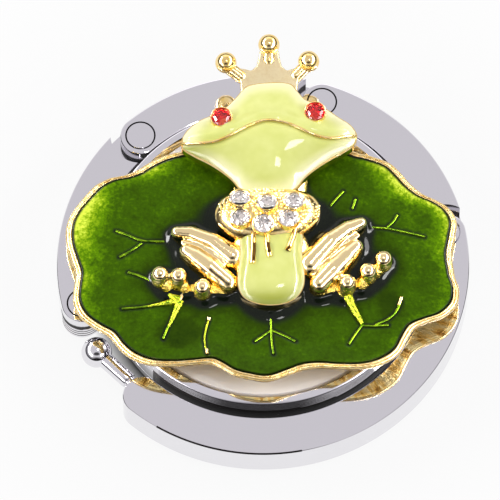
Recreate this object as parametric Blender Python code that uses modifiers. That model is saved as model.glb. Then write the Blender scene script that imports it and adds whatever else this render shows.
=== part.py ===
"""Folding purse hook with a crowned frog on a lily pad, built piece by piece.

The disc (tray, rubber pad, leaf and frog) lies in the middle. Four arc links fold round it on
riveted half-lap hinges and unfold into an open hook. Lengths are in metres, +Z is up, and the
origin is at the disc's centre on the table.
"""
import math

import bmesh
import bpy
from mathutils import Matrix, Vector

MM = 0.001

# Driving sizes of the ring of links
RING_OUTER_RADIUS = 23.0 * MM
LINK_WIDTH = 4.4 * MM
LUG_OVERHANG = 0.1 * MM
RING_INNER_RADIUS = RING_OUTER_RADIUS - LINK_WIDTH
RING_BOTTOM_Z = 0.35 * MM
RING_TOP_Z = 5.0 * MM
LAP_GAP = 0.06 * MM
EDGE_ROUND = 0.12 * MM
LUG_RADIUS = (LINK_WIDTH + LUG_OVERHANG) / 2
PIN_CIRCLE_RADIUS = RING_OUTER_RADIUS - LUG_RADIUS
PIN_ANGLES = [math.radians(a) for a in (193.5, 131.5, 71.4, 10.5)]
HOOK_TIP_ANGLE = math.radians(-130.0)
UPPER_RECESS_MARGIN = 1.1 * MM
UPPER_RECESS_RADIUS = LUG_RADIUS + UPPER_RECESS_MARGIN
LOWER_RECESS_GAP = 0.1 * MM
LOWER_RECESS_RADIUS = LUG_RADIUS + LOWER_RECESS_GAP
LAP_Z = (RING_BOTTOM_Z + RING_TOP_Z) / 2

# Rivets of the hinges
RIVET_HEAD_RADIUS = 1.65 * MM
RIVET_HEAD_HEIGHT = 0.8 * MM
RIVET_SHANK_RADIUS = 1.0 * MM
RIVET_TAIL_RADIUS = 1.4 * MM
RIVET_TAIL_HEIGHT = 0.5 * MM
RIVET_GAP = 0.05 * MM

# Tray, pad and magnet
TRAY_TO_RING_GAP = 0.8 * MM
TRAY_RADIUS = RING_INNER_RADIUS - TRAY_TO_RING_GAP
TRAY_RISE = 2.0 * MM
TRAY_TOP_Z = RING_TOP_Z + TRAY_RISE
TRAY_BOTTOM_Z = 0.5 * MM
TRAY_RIM_WIDTH = 0.9 * MM
TRAY_BEVEL_WIDTH = 0.5 * MM
DISH_DEPTH = 0.8 * MM
DISH_FLOOR_Z = TRAY_TOP_Z - DISH_DEPTH
TRAY_FOOT_CHAMFER = 0.5 * MM
GROOVE_DEPTH = 0.15 * MM
GROOVE_WIDTH = 0.22 * MM
GROOVE_DROPS = [0.7 * MM, 1.5 * MM]
PAD_INSET = 1.4 * MM
PAD_RADIUS = TRAY_RADIUS - PAD_INSET
PAD_THICKNESS = 0.8 * MM
PAD_ROUND = 0.3 * MM
PAD_GAP = 0.1 * MM
MAGNET_RADIUS = 1.5 * MM
MAGNET_HEIGHT = 3.0 * MM
MAGNET_GAP = 0.05 * MM

# Swivel between the disc and the first link
SWIVEL_Z = (RING_BOTTOM_Z + LAP_Z) / 2
SWIVEL_PIN_RADIUS = 0.55 * MM
SWIVEL_PIN_GAP = 0.05 * MM
SWIVEL_PIN_DEPTH = 3.2 * MM
SWIVEL_PIN_START = TRAY_RADIUS - SWIVEL_PIN_DEPTH
SWIVEL_PIN_END = PIN_CIRCLE_RADIUS - RIVET_SHANK_RADIUS - 4 * RIVET_GAP
COLLAR_RADIUS = 0.95 * MM
COLLAR_THICKNESS = 0.3 * MM
KNUCKLE_INNER_RADIUS = TRAY_RADIUS + COLLAR_THICKNESS + 2 * RIVET_GAP
KNUCKLE_HALF_WIDTH = 1.35 * MM
KNUCKLE_HEEL_TURN = math.radians(7.45)
KNUCKLE_HEEL_START_SHARE = 0.125
KNUCKLE_HEEL_INNER_SHARE = 0.8
KNUCKLE_CLEARANCE = 0.15 * MM

# Rod and ball at the free end
BALL_RADIUS = 1.6 * MM
BALL_INSET = 2.03 * MM
BALL_CIRCLE_RADIUS = RING_OUTER_RADIUS - BALL_INSET
BALL_ANGLE = math.radians(207.9)
ROD_RADIUS = 0.95 * MM
ROD_NECK_RADIUS = 0.75 * MM
ROD_SOCKET_INSET = 3.1 * MM
ROD_SOCKET_CIRCLE_RADIUS = RING_OUTER_RADIUS - ROD_SOCKET_INSET
ROD_SOCKET_ANGLE = math.radians(226.4)
ROD_SOCKET_DEPTH = 1.6 * MM
ROD_STEP_SHARE = 0.8
ROD_GAP = 0.04 * MM

# Lily pad: rim as (degrees, share of the leaf radius, share of the rim's rise)
LEAF_INSET = 1.0 * MM
LEAF_RADIUS = RING_OUTER_RADIUS - LEAF_INSET
LEAF_RISE = 3.3 * MM
LEAF_ABOVE_TRAY = 1.3 * MM
LEAF_DROP = 1.35 * MM
LEAF_CENTRE_Z = TRAY_TOP_Z + LEAF_ABOVE_TRAY
LEAF_RIM_LOW_Z = LEAF_CENTRE_Z - LEAF_DROP
LEAF_THICKNESS = 0.62 * MM
LEAF_LIP = 0.38 * MM
LEAF_CUP_POWER = 4
ENAMEL_THICKNESS = 0.3 * MM
ENAMEL_BED_GAP = 0.02 * MM
LEAF_BOSS_RADIUS = 8.0 * MM
LEAF_SPOKES = 60
LEAF_BED_SHARES = (0.45, 0.68, 0.83, 0.92, 0.95)
LEAF_LIP_SHARES = (0.97, 1.0)
LEAF_ENAMEL_SHARE = LEAF_BED_SHARES[-1]
LEAF_RIM_SHARES = [
    (0, 0.957, 0.04), (6, 0.978, 0.03), (11, 1.0, 0.02), (15, 0.982, 0.03),
    (18, 0.943, 0.06), (22, 0.88, 0.10), (27, 0.843, 0.16), (32, 0.828, 0.21),
    (37, 0.815, 0.24), (42, 0.78, 0.26), (48, 0.735, 0.27), (60, 0.68, 0.28),
    (90, 0.60, 0.28), (115, 0.655, 0.28), (127, 0.698, 0.27), (134, 0.738, 0.26),
    (140, 0.765, 0.26), (145, 0.788, 0.25), (149, 0.828, 0.23), (152, 0.882, 0.21),
    (156, 0.93, 0.17), (161, 0.963, 0.11), (167, 1.0, 0.02), (171, 1.01, 0.0),
    (176, 1.0, 0.0), (181, 0.975, 0.0), (186, 0.956, 0.0), (190, 0.972, 0.0),
    (195, 0.994, 0.0), (200, 0.985, 0.04), (205, 0.945, 0.10), (210, 0.902, 0.18),
    (216, 0.898, 0.29), (221, 0.888, 0.40), (227, 0.856, 0.52), (233, 0.804, 0.64),
    (240, 0.745, 0.78), (247, 0.70, 0.88), (252, 0.703, 0.94), (258, 0.727, 0.98),
    (265, 0.739, 1.0), (272, 0.747, 1.0), (280, 0.724, 1.0), (287, 0.713, 0.98),
    (294, 0.732, 0.92), (301, 0.782, 0.85), (308, 0.84, 0.77), (314, 0.877, 0.69),
    (320, 0.893, 0.60), (326, 0.877, 0.52), (331, 0.877, 0.47), (335, 0.92, 0.42),
    (339, 0.985, 0.36), (344, 1.02, 0.25), (349, 1.01, 0.14), (353, 0.978, 0.07),
]

# Frog: plan places and sizes on the leaf
FROG_LIFT = 0.48 * MM
FROG_BASE_Z = LEAF_CENTRE_Z + FROG_LIFT
FROG_CENTRE_X = 0.7 * MM
HEAD_CENTRE_Y = 12.3 * MM
HEAD_LIFT = 1.12 * MM
HEAD_BASE_Z = FROG_BASE_Z + HEAD_LIFT
HEAD_HALF_WIDTH = 9.8 * MM
HEAD_THICKNESS = 1.1 * MM
HEAD_PLATE_Z = HEAD_BASE_Z + HEAD_THICKNESS
HEAD_DOME_RISE = 1.9 * MM
HEAD_EDGE_RISE = 0.25 * MM
HEAD_ENAMEL_SHARE = 0.95
HEAD_ENAMEL_RING_SHARES = (0.4, 0.7, 0.9, 1.0)
HEAD_SPOKES = 44
HEAD_OUTLINE_SHARES = [
    (0, 1.0), (18, 0.985), (33, 0.92), (50, 0.74), (64, 0.66), (78, 0.645), (90, 0.64),
    (102, 0.65), (116, 0.665), (130, 0.74), (147, 0.92), (162, 0.985), (180, 1.0),
    (200, 0.93), (220, 0.80), (240, 0.71), (256, 0.655), (270, 0.635), (284, 0.655),
    (300, 0.71), (320, 0.80), (340, 0.93),
]
MOUTH_LINE_SHARES = [
    (-1.1, 0.02), (-0.86, 0.0), (-0.6, -0.02), (-0.38, 0.06), (-0.15, 0.17),
    (0.0, 0.2), (0.15, 0.17), (0.38, 0.06), (0.6, -0.02), (0.86, 0.0), (1.1, 0.02),
]
MOUTH_GAP = 0.3 * MM
BODY_CENTRE_Y = -1.9 * MM
BODY_HALF_WIDTH = 4.1 * MM
BODY_HALF_LENGTH = 6.1 * MM
BODY_HEIGHT = 2.42 * MM
BODY_SIDE_HEIGHT = 1.4 * MM
BODY_TOP_Z = FROG_BASE_Z + BODY_HEIGHT
BELLY_SHIFT_SHARE = 0.17
BELLY_WIDTH_SHARE = 0.86
BELLY_LENGTH_SHARE = 0.74
BELLY_CENTRE_Y = BODY_CENTRE_Y - BODY_HALF_LENGTH * BELLY_SHIFT_SHARE
BELLY_HALF_WIDTH = BODY_HALF_WIDTH * BELLY_WIDTH_SHARE
BELLY_HALF_LENGTH = BODY_HALF_LENGTH * BELLY_LENGTH_SHARE
BELLY_RISE = 0.85 * MM
BELLY_GAP = 0.03 * MM
COLLAR_BAND_Y = 3.9 * MM
COLLAR_BAND_HALF_WIDTH = 6.0 * MM
COLLAR_BAND_HALF_LENGTH = 2.75 * MM
COLLAR_BAND_HEIGHT = 3.22 * MM
COLLAR_BAND_TOP_Z = FROG_BASE_Z + COLLAR_BAND_HEIGHT
BODY_SINK = 0.4 * MM
NECK_SINK = 0.3 * MM
BAND_SINK = 0.2 * MM
RELIEF_SPOKES = 28
RELIEF_RING_SHARES = (0.45, 0.8, 1.0)

# Legs: knee, hip and ankle places as shares of the leg reach, measured from the frog's centre
LEG_REACH = 11.0 * MM
LEG_RADIUS = 1.15 * MM
LEG_TAPER_SHARE = 0.75
LEG_LIFT = 1.17 * MM
LEG_Z = FROG_BASE_Z + LEG_LIFT
SHIN_DROP = 0.09 * MM
CALF_DROP = 0.23 * MM
FOOT_DROP = 0.61 * MM
TOE_STEM_DROP = 0.17 * MM
THIGH_SHARES = [(0.31, -0.09), (0.64, 0.04), (0.97, 0.19)]
SHIN_SHARES = [(0.91, 0.05), (0.67, -0.16), (0.40, -0.38)]
CALF_SHARES = [(0.83, 0.05), (0.28, -0.20)]
FOOT_SHARES = [(0.34, -0.46), (0.91, -0.405)]
CALF_RADIUS = 0.8 * MM
FOOT_RADIUS = 0.95 * MM
TOE_RADIUS = 0.95 * MM
TOE_SHARES = [(1.12, -0.235), (0.95, -0.31), (0.73, -0.43)]
TOE_ROOT_SHARES = [(0.89, -0.36), (0.80, -0.395), (0.62, -0.45)]
TOE_LINK_RADIUS = 0.6 * MM

# Crown behind the head
CROWN_BAND_Y = 19.6 * MM
CROWN_HALF_WIDTH = 3.1 * MM
CROWN_DROP = 0.15 * MM
CROWN_BOTTOM_Z = HEAD_BASE_Z - CROWN_DROP
CROWN_THICKNESS = 1.2 * MM
CROWN_BALL_RADIUS = 1.05 * MM
CROWN_BALL_LIFT = 1.0 * MM
CROWN_BALL_Z = CROWN_BOTTOM_Z + CROWN_BALL_LIFT
CROWN_HEIGHT = 3.3 * MM
CROWN_OUTLINE_SHARES = [
    (-0.85, -0.75), (0.85, -0.75), (0.95, 0.05), (1.4, 0.62), (1.05, 0.78), (0.58, 0.28),
    (0.3, 1.2), (-0.2, 1.2), (-0.5, 0.28), (-0.98, 0.78), (-1.32, 0.62), (-0.92, 0.05),
]
CROWN_BALL_SHARES = [(-1.42, 0.86), (0.05, 1.45), (1.5, 0.92)]

# Stones
STONE_RADIUS = 1.12 * MM
STONE_CROWN_HEIGHT = 0.45 * MM
STONE_GIRDLE_HEIGHT = 0.12 * MM
STONE_PAVILION_HEIGHT = 0.7 * MM
STONE_SEAT_GAP = 0.04 * MM
STONE_SIDES = 12
STONE_TABLE_SHARE = 0.55
STONE_CULET_SHARE = 0.2
COLLAR_STONE_SHARES = [
    (-0.5, 0.37), (0.0, 0.17), (0.5, 0.37), (-0.5, -0.43), (-0.04, -0.6), (0.42, -0.46),
]
EYE_X = 5.15 * MM
EYE_Y = 15.0 * MM
EYE_LIFT = 2.05 * MM
EYE_TOP_Z = HEAD_PLATE_Z + EYE_LIFT
BEZEL_WALL = 0.32 * MM

# Counts of facets and shared helpers
ROUND_SEGMENTS = 24
SMALL_SEGMENTS = 20
ROD_SEGMENTS = 16
TRAY_SIDES = 64
PAD_SIDES = 48
LUG_STEPS = 12
ROD_BALL_SEGMENTS = 22
CROWN_BALL_SEGMENTS = 16
TOE_SEGMENTS = 10
ARC_STEP = math.radians(5.0)
EDGE_ANGLE_LIMIT = math.radians(60.0)
CUT_OVERRUN = 1.0 * MM
MERGE_DISTANCE = 0.005 * MM
SHARE_TOLERANCE = 0.001

CHROME = ((0.80, 0.80, 0.83), 0.08, 1.0)
SATIN_STEEL = ((0.55, 0.55, 0.58), 0.3, 1.0)
GOLD = ((0.93, 0.75, 0.40), 0.22, 1.0)
RUBBER = ((0.03, 0.03, 0.03), 0.8, 0.0)
MAGNET_GREY = ((0.35, 0.35, 0.36), 0.4, 1.0)
LEAF_GREEN = ((0.08, 0.33, 0.02), 0.15, 0.0)
LIME = ((0.68, 0.84, 0.24), 0.2, 0.0)
CLEAR_STONE = ((0.9, 0.93, 0.97), 0.03, 0.0)
RED_STONE = ((0.75, 0.02, 0.04), 0.03, 0.0)


def clear_scene():
    for old in list(bpy.data.objects):
        bpy.data.objects.remove(old, do_unlink=True)


def make_collection(name):
    group = bpy.data.collections.new(name)
    bpy.context.scene.collection.children.link(group)
    return group


def make_material(name, look):
    colour, roughness, metallic = look
    material = bpy.data.materials.new(name)
    material.use_nodes = True
    shader = material.node_tree.nodes["Principled BSDF"]
    shader.inputs["Base Color"].default_value = (*colour, 1.0)
    shader.inputs["Roughness"].default_value = roughness
    shader.inputs["Metallic"].default_value = metallic
    material.diffuse_color = (*colour, 1.0)
    return material


def on_ring(radius, angle, z=0.0):
    return Vector((radius * math.cos(angle), radius * math.sin(angle), z))


def object_from_bmesh(name, bm, group):
    mesh = bpy.data.meshes.new(name)
    bmesh.ops.recalc_face_normals(bm, faces=bm.faces)
    bm.to_mesh(mesh)
    bm.free()
    thing = bpy.data.objects.new(name, mesh)
    group.objects.link(thing)
    return thing


def dress(thing, look):
    thing.data.materials.append(make_material(thing.name + "_material", look))
    return thing


def as_cutter(thing):
    thing.hide_render = True
    thing.display_type = "WIRE"
    return thing


def boolean(target, tool, operation):
    modifier = target.modifiers.new(operation.title(), "BOOLEAN")
    modifier.operation = operation
    modifier.solver = "EXACT"
    modifier.object = tool
    return modifier


def apply_modifiers(thing):
    graph = bpy.context.evaluated_depsgraph_get()
    mesh = bpy.data.meshes.new_from_object(thing.evaluated_get(graph))
    thing.modifiers.clear()
    thing.data = mesh
    return thing


def prism(name, outline, bottom, top, group):
    """A closed solid that stands on a plan outline."""
    bm = bmesh.new()
    corners = [bm.verts.new((p[0], p[1], bottom)) for p in outline]
    bm.faces.new(corners)
    swept = bmesh.ops.extrude_face_region(bm, geom=list(bm.faces))
    upper = [v for v in swept["geom"] if isinstance(v, bmesh.types.BMVert)]
    bmesh.ops.translate(bm, verts=upper, vec=(0, 0, top - bottom))
    return object_from_bmesh(name, bm, group)


def cylinder(name, radius, bottom, top, centre, group, sides=ROUND_SEGMENTS):
    bm = bmesh.new()
    bmesh.ops.create_cone(
        bm, cap_ends=True, segments=sides, radius1=radius, radius2=radius, depth=top - bottom)
    bmesh.ops.translate(
        bm, verts=bm.verts, vec=(centre[0], centre[1], (bottom + top) / 2))
    return object_from_bmesh(name, bm, group)


def ball_solid(name, radius, centre, segments, group):
    bm = bmesh.new()
    bmesh.ops.create_uvsphere(
        bm, u_segments=segments, v_segments=segments // 2, radius=radius)
    bmesh.ops.translate(bm, verts=bm.verts, vec=centre)
    return object_from_bmesh(name, bm, group)


def turned(name, profile, sides, group):
    """A solid of revolution about Z from (radius, height) pairs, run from top to bottom."""
    mesh = bpy.data.meshes.new(name)
    edges = [(i, i + 1) for i in range(len(profile) - 1)]
    mesh.from_pydata([(r, 0.0, z) for r, z in profile], edges, [])
    thing = bpy.data.objects.new(name, mesh)
    group.objects.link(thing)
    screw = thing.modifiers.new("Turn", "SCREW")
    screw.steps = sides
    screw.render_steps = sides
    screw.use_merge_vertices = True
    screw.merge_threshold = MERGE_DISTANCE
    screw.use_smooth_shade = False
    return apply_modifiers(thing)


def smooth_closed(points, samples):
    """Values of a closed smooth curve through (angle in degrees, value, ...) rows."""
    rows = sorted(points)
    values = []
    for index in range(samples):
        angle = 360 * index / samples
        after = next((i for i, row in enumerate(rows) if row[0] > angle), 0)
        picks = [rows[(after + k) % len(rows)] for k in (-2, -1, 0, 1)]
        span = (picks[2][0] - picks[1][0]) % 360
        t = ((angle - picks[1][0]) % 360) / span
        row = []
        for column in range(1, len(rows[0])):
            p0, p1, p2, p3 = (pick[column] for pick in picks)
            row.append(
                0.5 * (2 * p1 + (p2 - p0) * t + (2 * p0 - 5 * p1 + 4 * p2 - p3) * t * t
                       + (3 * p1 - p0 - 3 * p2 + p3) * t ** 3))
        values.append(row)
    return values


def moulded_slab(name, outline, centre, rings, lower, upper, group):
    """A closed form over a plan outline, between two height functions of place and share."""
    spokes = len(outline)
    bm = bmesh.new()
    spine = [bm.verts.new((share, 0, 0)) for share in (0.0, *rings)]
    chain = [bm.edges.new((spine[i], spine[i + 1])) for i in range(len(rings))]
    bmesh.ops.spin(
        bm, geom=spine + chain, cent=(0, 0, 0), axis=(0, 0, 1), angle=math.tau, steps=spokes,
        use_merge=True)
    bmesh.ops.remove_doubles(bm, verts=bm.verts, dist=SHARE_TOLERANCE)
    plain = list(bm.faces)
    swept = bmesh.ops.extrude_face_region(bm, geom=plain)
    top = {v for v in swept["geom"] if isinstance(v, bmesh.types.BMVert)}
    for vertex in bm.verts:
        share = vertex.co.xy.length
        turn = math.atan2(vertex.co.y, vertex.co.x) % math.tau
        index = round(turn / math.tau * spokes) % spokes
        place = Vector(centre) + (Vector(outline[index]) - Vector(centre)) * share
        height = upper if vertex in top else lower
        vertex.co = (place.x, place.y, height(place.x, place.y, share, index))
    return object_from_bmesh(name, bm, group)


def arc_points(centre, radius, start, end):
    steps = max(2, math.ceil(abs(end - start) / ARC_STEP))
    turn = [(start + (end - start) * i / steps) for i in range(steps + 1)]
    return [(centre[0] + radius * math.cos(a), centre[1] + radius * math.sin(a)) for a in turn]


def lug_arc(pin, start_turn, end_turn):
    """Part of the round end of a link about its pin, in coarser steps than the ring."""
    centre = on_ring(PIN_CIRCLE_RADIUS, pin)
    sweep = end_turn - start_turn
    turns = [start_turn + sweep * i / LUG_STEPS for i in range(LUG_STEPS + 1)]
    return [(centre.x + LUG_RADIUS * math.cos(pin + t),
             centre.y + LUG_RADIUS * math.sin(pin + t)) for t in turns]


def link_outline(start, end):
    """Plan of a link, from its first pin clockwise to its last one, as a closed list."""
    while end > start:
        end -= math.tau
    inner_turn = math.acos(
        (LUG_RADIUS ** 2 + PIN_CIRCLE_RADIUS ** 2 - RING_INNER_RADIUS ** 2)
        / (2 * LUG_RADIUS * PIN_CIRCLE_RADIUS))
    lug_reach = math.asin(LUG_RADIUS * math.sin(inner_turn) / RING_INNER_RADIUS)
    points = arc_points((0, 0), RING_OUTER_RADIUS, start, end)[:-1]
    points += lug_arc(end, 0, -(math.pi - inner_turn))
    points += arc_points((0, 0), RING_INNER_RADIUS, end - lug_reach, start + lug_reach)[1:-1]
    points += lug_arc(start, math.pi - inner_turn, 0)[:-1]
    return points


def link_body(name, start, end, group):
    outline = link_outline(start, end)
    body = prism(name, outline, RING_BOTTOM_Z, RING_TOP_Z, group)
    bevel = body.modifiers.new("Edges", "BEVEL")
    bevel.width = EDGE_ROUND
    bevel.segments = 1
    bevel.limit_method = "ANGLE"
    bevel.angle_limit = EDGE_ANGLE_LIMIT
    return body


def cut_upper_lap(body, pin, cutters):
    centre = on_ring(PIN_CIRCLE_RADIUS, pin)
    tool = cylinder(
        body.name + "_upper_lap", UPPER_RECESS_RADIUS, LAP_Z - LAP_GAP / 2,
        RING_TOP_Z + CUT_OVERRUN, centre, cutters)
    boolean(body, as_cutter(tool), "DIFFERENCE")


def cut_lower_lap(body, pin, cutters):
    centre = on_ring(PIN_CIRCLE_RADIUS, pin)
    tool = cylinder(
        body.name + "_lower_lap", LOWER_RECESS_RADIUS, RING_BOTTOM_Z - CUT_OVERRUN,
        LAP_Z + LAP_GAP / 2, centre, cutters)
    boolean(body, as_cutter(tool), "DIFFERENCE")


def rivet_profile(gap):
    """Half section of a hinge rivet, grown by a gap when it serves as the hole."""
    head_floor = RING_TOP_Z - RIVET_HEAD_HEIGHT
    tail_roof = RING_BOTTOM_Z + RIVET_TAIL_HEIGHT
    overrun = CUT_OVERRUN if gap else 0.0
    return [
        (0.0, RING_TOP_Z + overrun),
        (RIVET_HEAD_RADIUS + gap, RING_TOP_Z + overrun),
        (RIVET_HEAD_RADIUS + gap, head_floor - gap),
        (RIVET_SHANK_RADIUS + gap, head_floor - gap),
        (RIVET_SHANK_RADIUS + gap, tail_roof + gap),
        (RIVET_TAIL_RADIUS + gap, tail_roof + gap),
        (RIVET_TAIL_RADIUS + gap, RING_BOTTOM_Z - overrun),
        (0.0, RING_BOTTOM_Z - overrun),
    ]


def drill_for_rivet(body, pin, cutters):
    tool = turned(body.name + "_rivet_hole", rivet_profile(RIVET_GAP), ROUND_SEGMENTS, cutters)
    tool.location = on_ring(PIN_CIRCLE_RADIUS, pin)
    boolean(body, as_cutter(tool), "DIFFERENCE")


def build_rivet(name, pin, group):
    rivet = turned(name, rivet_profile(0.0), ROUND_SEGMENTS, group)
    rivet.location = on_ring(PIN_CIRCLE_RADIUS, pin)
    return dress(rivet, CHROME)


def radial_rod(name, radius, start, end, angle, z, group):
    """A cylinder whose axis runs outward from the disc's centre line."""
    bm = bmesh.new()
    bmesh.ops.create_cone(
        bm, cap_ends=True, segments=ROD_SEGMENTS, radius1=radius, radius2=radius,
        depth=end - start)
    turn = Matrix.Rotation(angle, 4, "Z") @ Matrix.Rotation(math.pi / 2, 4, "Y")
    shift = Matrix.Translation(on_ring((start + end) / 2, angle, z))
    bmesh.ops.transform(bm, matrix=shift @ turn, verts=bm.verts)
    return object_from_bmesh(name, bm, group)


def knuckle_outline(grow):
    """Plan of the knuckle's neck, from the tray to its pin, in ring axes."""
    swivel = PIN_ANGLES[0]
    along = on_ring(1.0, swivel).xy
    across = Vector((-along.y, along.x))
    inner = KNUCKLE_INNER_RADIUS - grow
    half = KNUCKLE_HALF_WIDTH + grow
    return [
        along * inner - across * half, along * PIN_CIRCLE_RADIUS - across * half,
        along * PIN_CIRCLE_RADIUS + across * half, along * inner + across * half]


def build_knuckle(group, cutters):
    swivel = PIN_ANGLES[0]
    top = LAP_Z - LAP_GAP / 2
    knuckle = cylinder(
        "swivel_knuckle", LUG_RADIUS, RING_BOTTOM_Z, top, on_ring(PIN_CIRCLE_RADIUS, swivel),
        group)
    neck = prism("knuckle_neck", knuckle_outline(0.0), RING_BOTTOM_Z, top, cutters)
    boolean(knuckle, as_cutter(neck), "UNION")
    heel_start = swivel + KNUCKLE_HEEL_TURN * KNUCKLE_HEEL_START_SHARE
    heel_inner_end = swivel + KNUCKLE_HEEL_TURN * KNUCKLE_HEEL_INNER_SHARE
    heel_outline = (
        arc_points((0, 0), RING_OUTER_RADIUS, heel_start, swivel + KNUCKLE_HEEL_TURN)
        + arc_points((0, 0), RING_INNER_RADIUS + EDGE_ROUND, heel_inner_end, swivel))
    heel = prism("knuckle_heel", heel_outline, RING_BOTTOM_Z, top, cutters)
    boolean(knuckle, as_cutter(heel), "UNION")
    drill_for_rivet(knuckle, swivel, cutters)
    bore = radial_rod(
        "knuckle_bore", SWIVEL_PIN_RADIUS + SWIVEL_PIN_GAP, KNUCKLE_INNER_RADIUS - CUT_OVERRUN,
        PIN_CIRCLE_RADIUS, swivel, SWIVEL_Z, cutters)
    boolean(knuckle, as_cutter(bore), "DIFFERENCE")
    return dress(apply_modifiers(knuckle), CHROME)


def build_swivel_pin(group, cutters):
    swivel = PIN_ANGLES[0]
    pin = radial_rod(
        "swivel_pin", SWIVEL_PIN_RADIUS, SWIVEL_PIN_START, SWIVEL_PIN_END, swivel, SWIVEL_Z,
        group)
    collar_start = TRAY_RADIUS + RIVET_GAP
    collar = radial_rod(
        "pin_collar", COLLAR_RADIUS, collar_start, collar_start + COLLAR_THICKNESS, swivel,
        SWIVEL_Z, cutters)
    boolean(pin, as_cutter(collar), "UNION")
    return dress(apply_modifiers(pin), SATIN_STEEL)


def build_link(name, start, end, group, cutters):
    body = link_body(name, start, end, group)
    cut_lower_lap(body, start, cutters)
    cut_upper_lap(body, end, cutters)
    drill_for_rivet(body, start, cutters)
    drill_for_rivet(body, end, cutters)
    return body


def build_first_link(group, cutters):
    body = build_link("link_a", PIN_ANGLES[0], PIN_ANGLES[1], group, cutters)
    neck_room = prism(
        "link_a_neck_room", knuckle_outline(KNUCKLE_CLEARANCE), RING_BOTTOM_Z - CUT_OVERRUN,
        LAP_Z + LAP_GAP / 2, cutters)
    boolean(body, as_cutter(neck_room), "DIFFERENCE")
    return dress(apply_modifiers(body), CHROME)


def rod_ends():
    ball = on_ring(BALL_CIRCLE_RADIUS, BALL_ANGLE, LAP_Z)
    mouth = on_ring(ROD_SOCKET_CIRCLE_RADIUS, ROD_SOCKET_ANGLE, LAP_Z)
    along = (mouth - ball).normalized()
    return ball, mouth + along * ROD_SOCKET_DEPTH, along


def place_along(thing, start, along):
    thing.matrix_world = Matrix.Translation(start) @ along.to_track_quat("Z", "Y").to_matrix().to_4x4()


def build_tip_rod(group, cutters):
    ball, end, along = rod_ends()
    length = (end - ball).length
    step = length * ROD_STEP_SHARE - ROD_SOCKET_DEPTH
    profile = [
        (0.0, length), (ROD_NECK_RADIUS, length), (ROD_NECK_RADIUS, step),
        (ROD_RADIUS, step), (ROD_RADIUS, 0.0), (0.0, 0.0)]
    rod = turned("tip_rod", profile, ROD_SEGMENTS, group)
    place_along(rod, ball, along)
    sphere = ball_solid("rod_ball", BALL_RADIUS, ball, ROD_BALL_SEGMENTS, cutters)
    boolean(rod, as_cutter(sphere), "UNION")
    bpy.context.view_layer.update()
    return dress(apply_modifiers(rod), CHROME)


def build_hook_link(group, cutters):
    body = link_body("hook_link", PIN_ANGLES[3], HOOK_TIP_ANGLE, group)
    cut_lower_lap(body, PIN_ANGLES[3], cutters)
    drill_for_rivet(body, PIN_ANGLES[3], cutters)
    ball, end, along = rod_ends()
    depth = (end - ball).length + ROD_GAP
    profile = [
        (0.0, depth), (ROD_NECK_RADIUS + ROD_GAP, depth), (ROD_NECK_RADIUS + ROD_GAP, 0.0),
        (0.0, 0.0)]
    socket = turned("rod_socket", profile, ROD_SEGMENTS, cutters)
    place_along(socket, ball, along)
    boolean(body, as_cutter(socket), "DIFFERENCE")
    return dress(apply_modifiers(body), CHROME)


def tray_profile():
    rim_inner = TRAY_RADIUS - TRAY_RIM_WIDTH
    dish = rim_inner - TRAY_BEVEL_WIDTH
    wall = []
    for drop in GROOVE_DROPS:
        top = TRAY_TOP_Z - drop
        wall += [
            (TRAY_RADIUS, top), (TRAY_RADIUS - GROOVE_DEPTH, top - GROOVE_WIDTH / 2),
            (TRAY_RADIUS, top - GROOVE_WIDTH)]
    return [
        (0.0, DISH_FLOOR_Z), (dish, DISH_FLOOR_Z), (rim_inner, TRAY_TOP_Z - EDGE_ROUND),
        (rim_inner + EDGE_ROUND, TRAY_TOP_Z), (TRAY_RADIUS - EDGE_ROUND, TRAY_TOP_Z),
        (TRAY_RADIUS, TRAY_TOP_Z - EDGE_ROUND), *wall,
        (TRAY_RADIUS, TRAY_BOTTOM_Z + TRAY_FOOT_CHAMFER),
        (TRAY_RADIUS - TRAY_FOOT_CHAMFER, TRAY_BOTTOM_Z),
        (PAD_RADIUS + PAD_GAP, TRAY_BOTTOM_Z), (PAD_RADIUS + PAD_GAP, PAD_THICKNESS),
        (0.0, PAD_THICKNESS)]


def magnet_place():
    return on_ring(PAD_RADIUS - MAGNET_RADIUS - PAD_GAP, BALL_ANGLE)


def build_tray(group, cutters):
    tray = turned("tray", tray_profile(), TRAY_SIDES, group)
    pocket = cylinder(
        "magnet_pocket", MAGNET_RADIUS + MAGNET_GAP, TRAY_BOTTOM_Z - CUT_OVERRUN,
        PAD_THICKNESS + MAGNET_HEIGHT + MAGNET_GAP, magnet_place(), cutters, SMALL_SEGMENTS)
    boolean(tray, as_cutter(pocket), "DIFFERENCE")
    bore = radial_rod(
        "swivel_bore", SWIVEL_PIN_RADIUS + SWIVEL_PIN_GAP, SWIVEL_PIN_START - SWIVEL_PIN_GAP,
        TRAY_RADIUS + CUT_OVERRUN, PIN_ANGLES[0], SWIVEL_Z, cutters)
    boolean(tray, as_cutter(bore), "DIFFERENCE")
    return dress(apply_modifiers(tray), CHROME)


def build_pad(group):
    profile = [
        (0.0, PAD_THICKNESS), (PAD_RADIUS, PAD_THICKNESS), (PAD_RADIUS, PAD_ROUND),
        (PAD_RADIUS - PAD_ROUND, 0.0), (0.0, 0.0)]
    return dress(turned("rubber_pad", profile, PAD_SIDES, group), RUBBER)


def build_magnet(group):
    magnet = cylinder(
        "catch_magnet", MAGNET_RADIUS, PAD_THICKNESS, PAD_THICKNESS + MAGNET_HEIGHT,
        magnet_place(), group, SMALL_SEGMENTS)
    return dress(magnet, MAGNET_GREY)


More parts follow.
